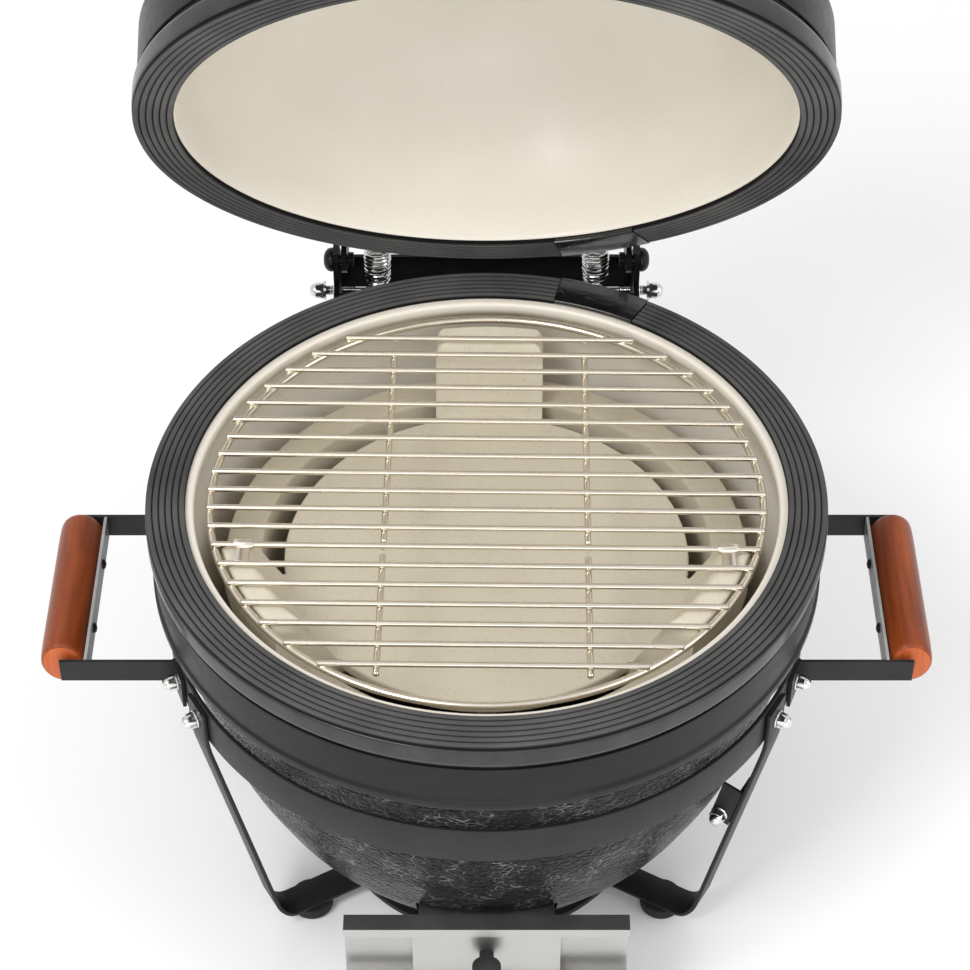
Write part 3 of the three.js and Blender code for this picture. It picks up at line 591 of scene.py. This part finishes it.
def piece(name, shape, looks, body="base", replaces=(), on_lid=False, move=None, crease=35):
    """Turns a shape into an object of the model."""
    obj = new_object(name, shape.mesh(name, placed(on_lid, move)))
    for look in looks if isinstance(looks, (list, tuple)) else [looks]:
        obj.data.materials.append(look.mat)
    finish_mesh(obj, crease)
    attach(obj, body)
    if replaces:
        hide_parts(*replaces)
    return obj


def finish_mesh(obj, crease=35):
    mesh = obj.data
    bm = bmesh.new()
    bm.from_mesh(mesh)
    bmesh.ops.remove_doubles(bm, verts=bm.verts, dist=1e-7)
    bmesh.ops.recalc_face_normals(bm, faces=bm.faces)
    bm.to_mesh(mesh)
    bm.free()
    mesh.polygons.foreach_set("use_smooth", [True] * len(mesh.polygons))
    mesh.set_sharp_from_angle(angle=math.radians(crease))


def boolean(obj, tool, operation="DIFFERENCE"):
    """Cuts or joins a drawn tool, given as an object, and removes the tool."""
    mod = obj.modifiers.new("cut", "BOOLEAN")
    mod.operation, mod.solver, mod.object = operation, "EXACT", tool
    bpy.context.view_layer.update()
    made = bpy.data.meshes.new_from_object(obj.evaluated_get(bpy.context.evaluated_depsgraph_get()))
    obj.modifiers.remove(mod)
    old, obj.data = obj.data, made
    made.name = old.name
    bpy.data.objects.remove(tool)
    made.polygons.foreach_set("use_smooth", [True] * len(made.polygons))
    made.set_sharp_from_angle(angle=math.radians(35))


def tool(shape, move=None):
    """An object to cut or join with, which boolean() removes again."""
    obj = new_object("tool", shape.mesh("tool", placed(False, move)))
    finish_mesh(obj)
    return obj


def block(x, y, z):
    """A box between pairs of x, y and z."""
    points = [(a, b, c) for a in x for b in y for c in z]
    faces = [(0, 1, 3, 2), (4, 6, 7, 5), (0, 4, 5, 1), (2, 3, 7, 6), (0, 2, 6, 4), (1, 5, 7, 3)]
    return Shape().add(points, faces)


def soften(obj, width, segments=2):
    """Rounds the edges of an object by a width in metres."""
    mod = obj.modifiers.new("edges", "BEVEL")
    mod.width, mod.segments, mod.limit_method = width, segments, "ANGLE"
    mod.angle_limit = math.radians(40)


def cad(node, look, width):
    """Keeps a CAD node, with softened edges and a better material."""
    obj = frame["nodes"][node]
    obj.data.materials.clear()
    obj.data.materials.append(look.mat)
    soften(obj, width)
    return obj


def arc(radius, a, b, steps, z=0.0):
    """Points about the axis from one angle to another, in degrees."""
    return [(radius * math.cos(math.radians(a + (b - a) * i / steps)),
             radius * math.sin(math.radians(a + (b - a) * i / steps)), z) for i in range(steps + 1)]


# ------------------------------------------------------------------ ceramic
def glazed(profile, zones, radii, radius):
    """A revolved wall of which each edge has a zone, its number in CERAMIC. radii are
    those of single corners, and radius is that of the rest."""
    fine, slots = [], []
    for i in range(len(profile)):
        corner = rounded(profile, radii.get(i, radius), 5, {i})
        took = corner[i:i + (len(corner) - len(profile)) + 1]
        fine += took
        slots += [zones[i - 1 if k < len(took) // 2 else i] for k in range(len(took))]
    return revolve(fine, 192, slots=slots)


def make_bowl():
    edge = CERAMIC_EDGE[0]
    profile = [
        (RIM_R, edge), (RIM_R, -GROOVE[0]), (GROOVE_R, -GROOVE[1]), (GROOVE_R, -GROOVE[2]),
        (214.5, -100), (205, -150), (190, -200), (168, -250), (135, -300), (104, -330), (98, -340.7),
        (0, -340.7), (0, -294), (94, -294), (96, -262), (142, -262), (166, -200), (191, -100),
        (205, -44), (205, -21), (LIP_R, -13), (LIP_R, edge), (204, edge)]
    zones = [1, 1, 1, 0, 0, 0, 0, 0, 0, 0, 3, 3, 3, 3, 3, 2, 2, 2, 2, 2, 2, 2, 1]
    radii = {0: 2.5, 1: 5, 2: 1, 3: 8, 9: 6, 10: 3, 18: 8, 19: 4, 20: 4, 21: 3.5, 22: 0}
    wall = glazed(profile, zones, radii, 14)
    obj = piece("bowl_shell", wall, CERAMIC, replaces=["bowl"], crease=50)
    draft_opening = block((-49, 49), (-215, -80), (-285, -239))
    boolean(obj, tool(draft_opening))


def make_lid():
    edge = CERAMIC_EDGE[1]
    profile = [
        (RIM_R, edge), (RIM_R, GROOVE[0]), (GROOVE_R, GROOVE[1]), (GROOVE_R, GROOVE[2]),
        (222, 86), (212, 114), (190, 148), (158, 178), (118, 198), (64, CROWN_Z), (48, CROWN_Z), (48, 186),
        (84, 180), (126, 162), (160, 136), (184, 102), (198, 60), (MOUTH_R, 40), (MOUTH_R, edge)]
    zones = [1, 1, 1, 0, 0, 0, 0, 0, 0, 1, 3, 2, 2, 2, 2, 2, 2, 2, 1]
    radii = {0: 2.5, 1: 5, 2: 1, 3: 8, 10: 2, 11: 2, 18: 3.5}
    wall = glazed(profile, zones, radii, 22)
    piece("lid_shell", wall, CERAMIC, "lid", ["lid"], True, crease=50)


def make_gasket(name, node, top, body, on_lid, sign):
    """Braided ribs side by side; top is the face that meets the other gasket."""
    back, valley, rise, steps = 3.6, 1.8, 1.7, 8
    outline = [(GASKET_OUT, top - sign * back), (GASKET_IN, top - sign * back)]
    for k in range(RIBS):
        for j in range(steps + (k == RIBS - 1)):
            t = j / steps
            h = rise * math.sqrt(max(0, 1 - (2 * t - 1) ** 2))
            outline.append((GASKET_IN + RIB * (k + t), top - sign * (valley - h)))
    shape = revolve(outline, 320, arc=(COVER[1] + 0.1, COVER[0] + 360 - 0.1))
    for f, uv in zip(shape.faces, shape.uvs):  # across the gasket, V counts from its inner edge
        for c, v in enumerate(f):
            p = shape.points[v]
            uv[c] = (uv[c][0], (math.hypot(p.x, p.y) - GASKET_IN) / 1000)
    piece(name, shape, GASKET, body, [node], on_lid, crease=70)


def make_cover(name, node, top, body, on_lid, sign):
    """A short glossy sleeve over the joint of a gasket."""
    inside, outside, back = 202.3, 229.8, top - sign * 3.7
    outline = rounded([(inside, back), (outside, back), (outside, top), (inside, top)], 1.4, 4)
    shape = revolve(outline, 24, arc=(COVER[0] + 0.1, COVER[1] - 0.1))
    piece(name, shape, TAPE, body, [node], on_lid)


def make_deflector():
    """A disc with three upright legs: each is a turned section cut to a round-topped slab."""
    low, top, shelf, leg_top = -76, -62, -57.7, -10.8
    disc = rounded([(0, low), (133.5, low), (139.5, -71), (139.5, top), (0, top)], 2.2, 4)
    obj = piece("deflector_plate", revolve(disc, 180), FIRE, replaces=["deflector"],
                move=SET_TURN)
    section = rounded([
        (128, low), (146, low), (148, shelf), (180.5, shelf), (182, -55), (182, -12.3), (179.5, leg_top),
        (167, leg_top), (163, -14), (141, top), (128, top)], 2.0, 3)
    for angle, width in ((90, 77), (208, 88), (332, 88)):
        leg = tool(revolve(section, 30, arc=(angle - 20, angle + 20)), SET_TURN)
        w = width / 2
        slab = rounded([(w, -90), (w, leg_top), (-w, leg_top), (-w, -90)], 12, 8, {1, 2})
        n = len(slab)
        shape = Shape().add([(x, y, z) for x in (100, 200) for y, z in slab],
                            [list(range(n)), [n + i for i in range(n)][::-1]]
                            + [[i, (i + 1) % n, n + (i + 1) % n, n + i] for i in range(n)])
        boolean(leg, tool(shape, rot_z(angle) @ SET_TURN), "INTERSECT")
        boolean(obj, leg, "UNION")
    soften(obj, 0.0015, 3)


def make_firebox():
    outline = rounded([
        (180, -58), (155, -58), (150, -100), (128, -200), (108, -242), (70, -242),
        (70, -261.6), (134, -261.6), (152, -200), (177, -100)], 3, 3)
    obj = piece("firebox_pot", revolve(outline, 144), POT, replaces=["firebox"])
    for i in range(6):
        air_hole = revolve([(0, 90), (8, 90), (8, 180), (0, 180)], 24)
        boolean(obj, tool(air_hole, outward(30 + 60 * i, 0, -205)))
    ash_opening = block((-42, 42), (-160, -60), (-262.5, -245))
    boolean(obj, tool(ash_opening))


# ------------------------------------------------------------------ wire grate
GRATE_R, HOOP_Z, BAR_Z = 187, -10.2, -6.6
WELD_Z = (HOOP_Z + BAR_Z) / 2
HOOP_WIRE, BAR_WIRE, ROD_WIRE = 2.6, 2.05, 2.2  # radii
PITCH, HINGE_Y = 17.6, -50  # the bars are counted from the one that the flap hinges on
UNDER_ROD_X, KNUCKLE_X = 68, 160.5


def grate_half(rows, hoop_arc, rods):
    """Hoop, bars, two rods under them, and a weld where a bar crosses a rod or the hoop."""
    shape = Shape().join(wire(arc(GRATE_R, *hoop_arc, 120, HOOP_Z), HOOP_WIRE, 14))
    for k in rows:
        y = HINGE_Y + k * PITCH
        overhang = 3.5 if y > 60 else 0  # the bars at the back stand further out
        half = math.sqrt((GRATE_R + overhang) ** 2 - y * y) + 1.4
        shape.join(wire([(x, y, BAR_Z) for x in (-half, -half + 1, half - 1, half)], BAR_WIRE, 14))
        for x in (-half + 1.6, half - 1.6):
            shape.join(bead((x, y, WELD_Z), (2.6, 2.1, 1.8)))
        for x in (-UNDER_ROD_X, UNDER_ROD_X):
            shape.join(bead((x, y, WELD_Z), (2.1, 2.3, 1.7)))
    a, b = rods
    s = 1 if b > a else -1
    for x in (-UNDER_ROD_X, UNDER_ROD_X):
        shape.join(wire([(x, y, HOOP_Z + 0.2) for y in (a, a + s, b - s, b)], ROD_WIRE, 12))
    return shape


def bead(centre, size):
    """A small rounded weld."""
    pts, faces = [], []
    rows, cols = 4, 8
    for i in range(1, rows):
        t = math.pi * i / rows
        for j in range(cols):
            a = TAU * j / cols
            pts.append((math.sin(t) * math.cos(a), math.sin(t) * math.sin(a), math.cos(t)))
    top, low = len(pts), len(pts) + 1
    pts += [(0, 0, 1), (0, 0, -1)]
    for i in range(rows - 2):
        for j in range(cols):
            k = (j + 1) % cols
            faces.append([i * cols + j, (i + 1) * cols + j, (i + 1) * cols + k, i * cols + k])
    for j in range(cols):
        k = (j + 1) % cols
        faces += [[top, j, k], [low, (rows - 2) * cols + k, (rows - 2) * cols + j]]
    moved = [tuple(c + p * r for c, p, r in zip(centre, point, size)) for point in pts]
    return Shape().add(moved, faces)


def make_grates():
    rear = grate_half(range(13), (-15.4, 195.4), (-43, 146))
    piece("grate_rear", rear, WIRE, replaces=["cooking_grate"], move=SET_TURN)
    front = grate_half(range(-1, -7, -1), (-163.5, -16.5), (-56, -161.5))
    for x in (-KNUCKLE_X, KNUCKLE_X):
        tube = revolve(rounded([(2.35, -6.5), (3.8, -6.5), (3.8, 6.5), (2.35, 6.5)], 0.5, 2), 24)
        front.join(tube, Matrix.Translation((x, HINGE_Y, BAR_Z)) @ Matrix.Rotation(math.pi / 2, 4, "Y"))
        tab = [(x, HINGE_Y - 3, BAR_Z), (x, HINGE_Y - PITCH, BAR_Z)]
        front.join(sweep(tab, bar(9, 1.8, 0.5), up=(1, 0, 0)))
    piece("grate_front", front, WIRE, "grate_flap", ["grate_flap"], move=SET_TURN)


# ------------------------------------------------------------------ bands, stand, handles
def make_bands():
    """The base's band has a flange along its lower edge."""
    start, flange = 25, BAND_OUT + 1.6
    base = rounded([
        (BAND_IN, -start), (BAND_OUT, -start), (BAND_OUT, -54), (flange, -56), (flange, -BAND_END),
        (BAND_IN, -BAND_END)], 0.8, 3)
    piece("band_base", revolve(base, 192), BAND, replaces=["base_band"])
    lid = rounded([(BAND_IN, start), (BAND_OUT, start), (BAND_OUT, BAND_END), (BAND_IN, BAND_END)], 0.8, 3)
    piece("band_lid", revolve(lid, 192), BAND, "lid", ["lid_band"], True)


def acorn(grip, head=3.0):
    """Washer and domed nut on +Z, shank and button head behind what it clamps."""
    shape = revolve([(0, -1), (3.2, -1), (3.2, 0.3), (6.2, 0.3), (6.2, 1.0), (5.6, 1.5), (0, 1.5)], 36)
    rows = [(0, 1.2), (5.9, 1.2), (5.9, 5.6), (5.2, 6.4), (4.5, 6.6), (4.4, 7.4), (3.9, 8.9), (2.9, 10.0),
            (1.5, 10.65), (0, 10.8)]
    shape.join(revolve(rows, 72, hexagon={1: 10.0, 2: 10.0}))
    shape.join(revolve([(0, -grip - 0.5), (2.9, -grip - 0.5), (2.9, 2), (0, 2)], 24))
    back, face = -grip - head, -grip - 0.3
    shape.join(revolve([(0, back), (3, back + 0.2), (4.6, back + 1.2), (5.1, face), (0, face)], 32))
    return shape


STRAPS = {"rear": 90, "left": 210, "right": 330}
STRAP_R = RING_OUT + 1.8  # middle of a strap's thickness where it lies on the ring
BEND_Z, KNEE = -126, (181, -334)  # a strap leans in from its bend to its knee
LEAN = math.atan2(STRAP_R - KNEE[0], BEND_Z - KNEE[1])
SOLE_Z, FOOT_R = -347, 150
CLIP_Z = -202


def make_stand():
    ring = rounded([
        (RING_IN, RING_LOW), (RING_OUT, RING_LOW), (RING_OUT, RING_TOP), (RING_IN, RING_TOP)], 0.9, 3)
    piece("ring_hoop", revolve(ring, 192), PAINT, replaces=["stand_ring"])
    seat = rounded([(82, -345.2), (114, -345.2), (114, -341), (82, -341)], 0.8, 3)
    piece("ring_foot", revolve(seat, 128), PAINT, replaces=["stand_base_ring"])
    pad = rounded([(0, FLOOR_Z), (13.5, FLOOR_Z), (15.5, -357.5), (16, -349), (0, -349)], 1.2, 3)
    line = bend([(STRAP_R, 0, -94), (STRAP_R, 0, BEND_Z), (KNEE[0], 0, KNEE[1]),
                 (172, 0, SOLE_Z), (84, 0, SOLE_Z)], 12)
    for name, angle in STRAPS.items():
        strap = sweep(line, bar(24, 3, 0.7), up=(0, 1, 0))
        piece(f"strap_{name}", strap, PAINT, replaces=[f"leg_strap_{name}"], move=rot_z(angle))
        piece(f"strap_nut_{name}", acorn(6.6), BRIGHT, replaces=[f"leg_bolt_{name}"],
              move=outward(angle, RING_OUT + 3.3, BOLT_Z))
        piece(f"pad_{name}", revolve(pad, 40), RUBBER, replaces=[f"foot_{name}"],
              move=rot_z(angle) @ Matrix.Translation((FOOT_R, 0, 0)))
    cad("strap_clip", PAINT, 0.0004)
    face = RING_OUT + 0.3 + (CLIP_Z - BEND_Z) * math.tan(LEAN)
    place = rot_z(STRAPS["right"]) @ Matrix.Translation((face, 0, CLIP_Z)) @ Matrix.Rotation(LEAN, 4, "Y")
    at = place @ Matrix.Translation((-9, -12, -12)) @ Matrix.Rotation(math.pi / 2, 4, "X")
    piece("clip_nut", acorn(2.6), BRIGHT, replaces=["strap_clip_bolt"], move=at)


ARM_Y, ARM_HEIGHT = 70.4, 18.5  # arms of a handle, either side of its grip
SIDE_TOP, LID_TOP = -96, 54  # top of the arms of the side handles and of the lid's
GRIP_OUT, GRIP_FLAT = 68, 14.95  # grip beyond the ring or band, and its middle above its strip
SCREW_OUT, SCREW_Y = GRIP_OUT - 17.5, 31
TAB_Y = ARM_Y + 7.5  # bolts through the arms' tabs


def make_grip(name, node, r, top, turn, body, on_lid, look):
    """An oval wooden bar between the two arms, flat where it lies on the strip."""
    half_out, half_up, sides = 15.5, 18.5, 64
    taper = ((64.5, 0.86), (64.2, 0.9), (63, 0.955), (60, 0.985), (50, 1.0), (20, 1.0))
    rows = []
    for y, k in [(-y, k) for y, k in taper] + list(taper[::-1]):
        row = []
        for i in range(sides):
            a = TAU * i / sides
            x = max(half_out * math.cos(a), -GRIP_FLAT)
            row.append((x * k if x > -GRIP_FLAT + 0.05 else -GRIP_FLAT, y, half_up * k * math.sin(a)))
        rows.append(row)
    faces = []
    for i in range(len(rows) - 1):
        for s in range(sides):
            s2 = (s + 1) % sides
            faces.append([i * sides + s, i * sides + s2, (i + 1) * sides + s2, (i + 1) * sides + s])
    faces += [list(range(sides))[::-1], [(len(rows) - 1) * sides + s for s in range(sides)]]
    shape = Shape().add([p for row in rows for p in row], faces, slots=[0] * (len(faces) - 2) + [1, 1])
    centre = rot_z(turn) @ Matrix.Translation((r + GRIP_OUT, 0, top - ARM_HEIGHT / 2))
    piece(name, shape, [look, END_GRAIN], body, [node], on_lid, centre)


def arms_look(node, on_lid):
    """The strip that carries the grip is bare metal, drawn in a pale grey coat whose lightness is partly
    painted reflection of the white surroundings; the rest is painted.
    """
    obj = cad(node, SATIN, 0.0005)
    obj.data.materials.append(STRIP.mat)
    back = placed(on_lid).inverted() @ obj.matrix_world
    r = BAND_OUT if on_lid else RING_OUT
    for face in obj.data.polygons:
        c = back @ face.center
        out, side = (-c.y, c.x) if on_lid else (abs(c.x), c.y)
        # The strip's faces take the pale coat, whose lightness is partly painted reflection.
        if r + GRIP_OUT - 18 < out < r + GRIP_OUT - 15 and abs(side) < ARM_Y - 3:
            face.material_index = 1


def screw_head():
    """A small pan head with a cross recess drawn as a shallow dish."""
    return revolve([(0, 0), (3.6, 0), (3.6, 0.9), (2.9, 2.0), (1.5, 2.4), (1.1, 1.5), (0, 1.4)], 28)


def screw_place(turn, r, y, top):
    """A grip's screw sits in its strip, with its head towards the grill."""
    at = Matrix.Translation((r + SCREW_OUT, y, top - ARM_HEIGHT / 2))
    return rot_z(turn) @ at @ Matrix.Rotation(-math.pi / 2, 4, "Y")


def make_handles():
    angle = math.degrees(math.asin(TAB_Y / RING_OUT))
    for name, base, ends in (("right", 0, ("rear", "front")), ("left", 180, ("front", "rear"))):
        arms_look(f"handle_arms_{name}", False)
        make_grip(f"wood_{name}", f"grip_{name}", RING_OUT, SIDE_TOP, base, "base", False, WOOD_Y)
        for s, end in zip((1, -1), ends):
            piece(f"handle_nut_{name}_{end}", acorn(6.1), BRIGHT,
                  replaces=[f"handle_bolt_{name}_{end}"],
                  move=outward(base + s * angle, RING_OUT + 2.8, BOLT_Z))
        for i, y in enumerate((-SCREW_Y, SCREW_Y)):
            piece(f"grip_screw_{name}_{i}", screw_head(), RIVET,
                  move=screw_place(base, RING_OUT, y, SIDE_TOP))
    arms_look("lid_handle_arms", True)
    make_grip("wood_lid", "lid_grip", BAND_OUT, LID_TOP, 270, "lid", True, WOOD_X)
    angle = math.degrees(math.asin(TAB_Y / BAND_OUT))
    for i, s in enumerate((-1, 1)):
        piece(f"lid_handle_nut_{i}", acorn(1.2, 0.4), BRIGHT, "lid", on_lid=True,
              move=outward(270 + s * angle, BAND_OUT + 2.8, 43.5))
        piece(f"grip_screw_lid_{i}", screw_head(), RIVET, "lid", on_lid=True,
              move=screw_place(270, BAND_OUT, SCREW_Y * s, LID_TOP))


# ------------------------------------------------------------------ hinge
BASE_ROD, LID_ROD = (266, -48), (258.6, 28)  # y and z with the lid shut
BASE_ROD_HALF, LID_ROD_HALF, SPRING_X = 133, 107.3, 82


def open_rod():
    """Y and z of the lid's rod when the lid is open, in the drawing frame."""
    p = SWING @ Vector((0, *LID_ROD))
    return Vector((p.y, p.z))


def make_spring(x):
    """An eye round the base's rod, the coil, and an eye round the lid's rod."""
    low, high = Vector(BASE_ROD), open_rod()
    length = (high - low).length
    along = (high - low).normalized()
    eye, coil, turns, wire_r = 6.2, 8.9, 8, 1.45
    path = []

    def push(dx, v, u):
        """Adds a point u along the spring, and dx and v off its middle."""
        path.append((x + dx, low.x + along.x * u + along.y * v, low.y + along.y * u - along.x * v))

    for i in range(31):
        a = math.radians(-60 - 10 * i)
        push(0, eye * math.cos(a), eye * math.sin(a))
    for i in range(turns * 24 + 1):
        a = math.radians(90 + 15 * i)
        ease = min(1, i / 8, (turns * 24 - i) / 8)
        r = coil * (0.6 + 0.4 * ease)
        push(r * math.cos(a), r * math.sin(a), 10 + (length - 20) * i / (turns * 24))
    for i in range(31):
        a = math.radians(-116 + 10 * i)
        push(0, eye * math.cos(a), length + eye * math.sin(a))
    return wire(path, wire_r, 10)


def make_hinge():
    cad("base_hinge_bracket", RIVET, 0.0008)
    cad("lid_hinge_bracket", RIVET, 0.0008)
    half = BASE_ROD_HALF
    for s, side in ((1, "right"), (-1, "left")):
        nut = revolve([(0, half - 11.6), (7.4, half - 11.6), (7.4, half - 9.8), (0, half - 9.6)], 40)
        rows = [(0, half - 10), (6.6, half - 9.7), (6.6, half - 4.4), (5.9, half - 3.6), (5.2, half - 3.4),
                (4.9, half - 1.6), (3.6, half + 0.2), (1.8, half + 0.9), (0, half + 1)]
        nut.join(revolve(rows, 72, hexagon={1: 11.4, 2: 11.4}))
        piece(f"rod_nut_{side}", nut, BRIGHT, move=across(*BASE_ROD, s < 0))
        head = [(0, 102.6), (3.9, 102.6), (3.9, 113.3), (8.8, 113.4), (9, 114.6), (8.2, 117), (6, 119),
                (3.4, 119.9), (2.6, 119.6), (2.4, 117.6), (0, 117.4)]
        bolt = revolve(head, 48)
        bolt.join(revolve([(0, 98), (5.9, 98), (6, 102), (0, 102.6)], 48, hexagon={1: 10.6, 2: 10.6}))
        piece(f"pivot_{side}", bolt, RIVET, replaces=[f"pivot_bolt_{side}"],
              move=across(PIVOT.y, PIVOT.z, s < 0))
        clamp = revolve([(0, 220), (2.9, 220), (2.9, 233.9), (0, 233.9)], 24)
        clamp_head = [(0, 233.6), (5.8, 233.7), (5.8, 237), (5.2, 237.8), (0, 237.9)]
        clamp.join(revolve(clamp_head, 72, hexagon={1: 10.0, 2: 10.0}))
        at = Matrix.Translation((40 * s, 0, -44)) @ Matrix.Rotation(-math.pi / 2, 4, "X")
        piece(f"clamp_{side}", clamp, RIVET, replaces=[f"base_clamp_bolt_{side}"], move=at)
        spring = piece(f"spring_coil_{side}", make_spring(SPRING_X * s), BRIGHT,
                       replaces=[f"hinge_spring_{side}"])
        spring.parent = None  # it stretches between two bodies, so it rides on neither
        del spring["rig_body"]
        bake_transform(spring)
    threads = []  # only the ends of the rod are threaded
    z = -(half - 10)
    while z < half - 10:
        threads += [(3.9, z), (3.55, z + 0.6), (3.9, z + 1.2)] if abs(z) > 100 else [(3.9, z), (3.9, z + 1.0)]
        z += 1.25
    rod = revolve([(0, -(half - 9))] + threads + [(0, half - 9)], 28)
    piece("rod_base", rod, BRIGHT, replaces=["spring_rod_base"], move=across(*BASE_ROD))
    rod = rounded([(0, -LID_ROD_HALF), (4, -LID_ROD_HALF), (4, LID_ROD_HALF), (0, LID_ROD_HALF)], 0.8, 3)
    piece("rod_lid", revolve(rod, 40), BRIGHT, "lid", ["spring_rod_lid"], True, across(*LID_ROD))


# ------------------------------------------------------------------ thermometer and vent
DIAL_START, DIAL_SWEEP = 225, 270  # degrees, the scale running clockwise


def text_shape(text, size, at):
    """Upright figures of a size in millimetres, centred on a point."""
    curve = bpy.data.curves.new("figure", "FONT")
    curve.body, curve.size, curve.align_x, curve.align_y = text, size, "CENTER", "CENTER"
    curve.extrude = 0.12
    obj = new_object("figure", curve)
    bpy.context.view_layer.update()
    mesh = bpy.data.meshes.new_from_object(obj.evaluated_get(bpy.context.evaluated_depsgraph_get()))
    bpy.data.objects.remove(obj)
    return Shape().add([tuple(v.co) for v in mesh.vertices], [list(p.vertices) for p in mesh.polygons],
                       move=Matrix.Translation(at))


def make_thermometer():
    at = Matrix.Translation((0, -218, 100)) @ Matrix.Rotation(math.radians(66), 4, "X")
    case = rounded([
        (0, -52), (2.6, -51.4), (4, -46), (4, 1), (36, 1), (39, 4), (39, 15.5), (36.4, 18), (33.6, 18),
        (33.6, 6), (0, 6)], 1.2, 3, {2, 4, 5, 6, 7, 8})
    piece("thermometer_shell", revolve(case, 96), BRUSHED, "lid", ["thermometer_case"], True, at)
    dial = revolve([(0, 6.2), (33.1, 6.2), (33.1, 7.5), (0, 7.5)], 96)
    piece("thermometer_face", dial, DIAL, "lid", ["thermometer_dial"], True, at)
    ink = Shape()
    for i in range(51):
        t = math.radians(DIAL_START - DIAL_SWEEP * i / 50)
        length, w = (2.6, 0.25) if i % 5 else (5, 0.45)
        ink.join(block((31 - length, 31), (-w, w), (7.4, 7.66)), Matrix.Rotation(t, 4, "Z"))
    for i in range(0, 11, 2):
        t = math.radians(DIAL_START - DIAL_SWEEP * i / 10)
        ink.join(text_shape(str(i * 40), 5.4, (20.5 * math.cos(t), 20.5 * math.sin(t), 7.55)))
    piece("thermometer_marks", ink, INK, "lid", on_lid=True, move=at)
    cad("thermometer_pointer", INK, 0.0002)
    lens = rounded([(0, 13.5), (33.2, 13.5), (33.2, 15.2), (20, 16.2), (0, 16.6)], 0.4, 2, {1, 2})
    piece("thermometer_window", revolve(lens, 96), GLASS, "lid", ["thermometer_lens"], True, at)


def make_vent():
    top = CROWN_Z
    cad("vent_collar", IRON, 0.0012)
    cad("vent_cap", IRON, 0.0009)
    cad("daisy_wheel", IRON, 0.0006)
    pin = rounded([(0, top + 2), (2.9, top + 2), (2.9, top + 20.6), (6, top + 20.6), (6, top + 22.5),
                   (3.6, top + 24.6), (0, top + 25)], 0.6, 3, {3, 4, 5})
    piece("vent_pin_head", revolve(pin, 40), BRIGHT, "lid", ["vent_pin"], True,
          Matrix.Translation((60, 0, 0)))
    knob = rounded([(0, top + 14.6), (6.8, top + 14.6), (6.8, top + 16.6), (2.9, top + 16.6), (2.9, top + 25),
                    (8, top + 25), (8, top + 28), (5, top + 31), (0, top + 31.5)], 0.8, 3, {1, 2, 5, 6, 7})
    piece("daisy_knob", revolve(knob, 48), BRIGHT, "vent_cap", ["daisy_pin"], True)


def make_draft():
    cad("draft_frame", BRUSHED, 0.0004)
    cad("draft_door", BRUSHED, 0.0004)
    cad("draft_screen", BRUSHED, 0.0002)
    cad("charcoal_grate", IRON, 0.001)
    knob = rounded([(0, 0.2), (5, 0.2), (5, 5), (10, 9), (10, 14), (7, 17), (0, 17.5)], 1.4, 4, {2, 3, 4, 5})
    at = Matrix.Translation((0, -192, -262)) @ Matrix.Rotation(math.pi / 2, 4, "X")
    piece("door_knob", revolve(knob, 48), RUBBER, "draft_door", ["draft_knob"], move=at)


# ------------------------------------------------------------------ studio
def make_stage():
    floor = block((-9000, 9000), (-9000, 9000), (FLOOR_Z - 40, FLOOR_Z))
    obj = new_object("floor", floor.mesh("floor", SETTLE))
    look = Look("floor", (0.93, 0.93, 0.93, 1), 0.9)
    pale = look.ramp(look.noise(2, 2), [(0.3, (0.92, 0.92, 0.92)), (0.7, (0.94, 0.94, 0.94))])
    look.link(pale, "Base Color")
    obj.data.materials.append(look.mat)
    finish_mesh(obj)
    world = bpy.data.worlds.new("studio")
    world.use_nodes = True
    background = world.node_tree.nodes["Background"]
    background.inputs["Color"].default_value = (1, 1, 1, 1)
    background.inputs["Strength"].default_value = 0.86
    bpy.context.scene.world = world

    def lamp(name, size, power, at, aim):
        data = bpy.data.lights.new(name, "AREA")
        data.shape, data.size, data.size_y, data.energy = "RECTANGLE", size[0], size[1], power
        light = new_object(name, data)
        light.location = at
        light.rotation_euler = (Vector(aim) - Vector(at)).to_track_quat("-Z", "Y").to_euler()

    lamp("key", (1.1, 1.1), 44, (-1.3, -1.6, 2.6), (0, 0, 0.35))
    lamp("fill", (1.4, 1.8), 15, (1.9, -0.9, 1.5), (0, 0, 0.35))
    lamp("front", (1.8, 0.7), 10, (0.2, -2.2, 0.7), (0, 0, 0.25))


def make_camera():
    """Stands in front of the grill and above it, looking down."""
    data = bpy.data.cameras.new("camera")
    cam = new_object("camera", data)
    cam.location = SETTLE @ Vector((-1.1, -1298, 1247))
    cam.rotation_euler = (math.pi / 2 - math.radians(43.8), 0, 0)
    data.sensor_width = 36
    data.lens = 2669 / 970 * 36
    data.clip_end = 50
    bpy.context.scene.camera = cam
    bpy.context.scene.view_settings.view_transform = "Standard"


make_camera()
make_stage()
make_bowl()
make_lid()
make_gasket("gasket_base", "base_gasket", -0.2, "base", False, 1)
make_gasket("gasket_lid", "lid_gasket", 0.5, "lid", True, -1)
make_cover("joint_cover_base", "base_gasket_cover", 0, "base", False, 1)
make_cover("joint_cover_lid", "lid_gasket_cover", 0.3, "lid", True, -1)
make_firebox()
make_deflector()
make_grates()
make_bands()
make_stand()
make_handles()
make_hinge()
make_thermometer()
make_vent()
make_draft()
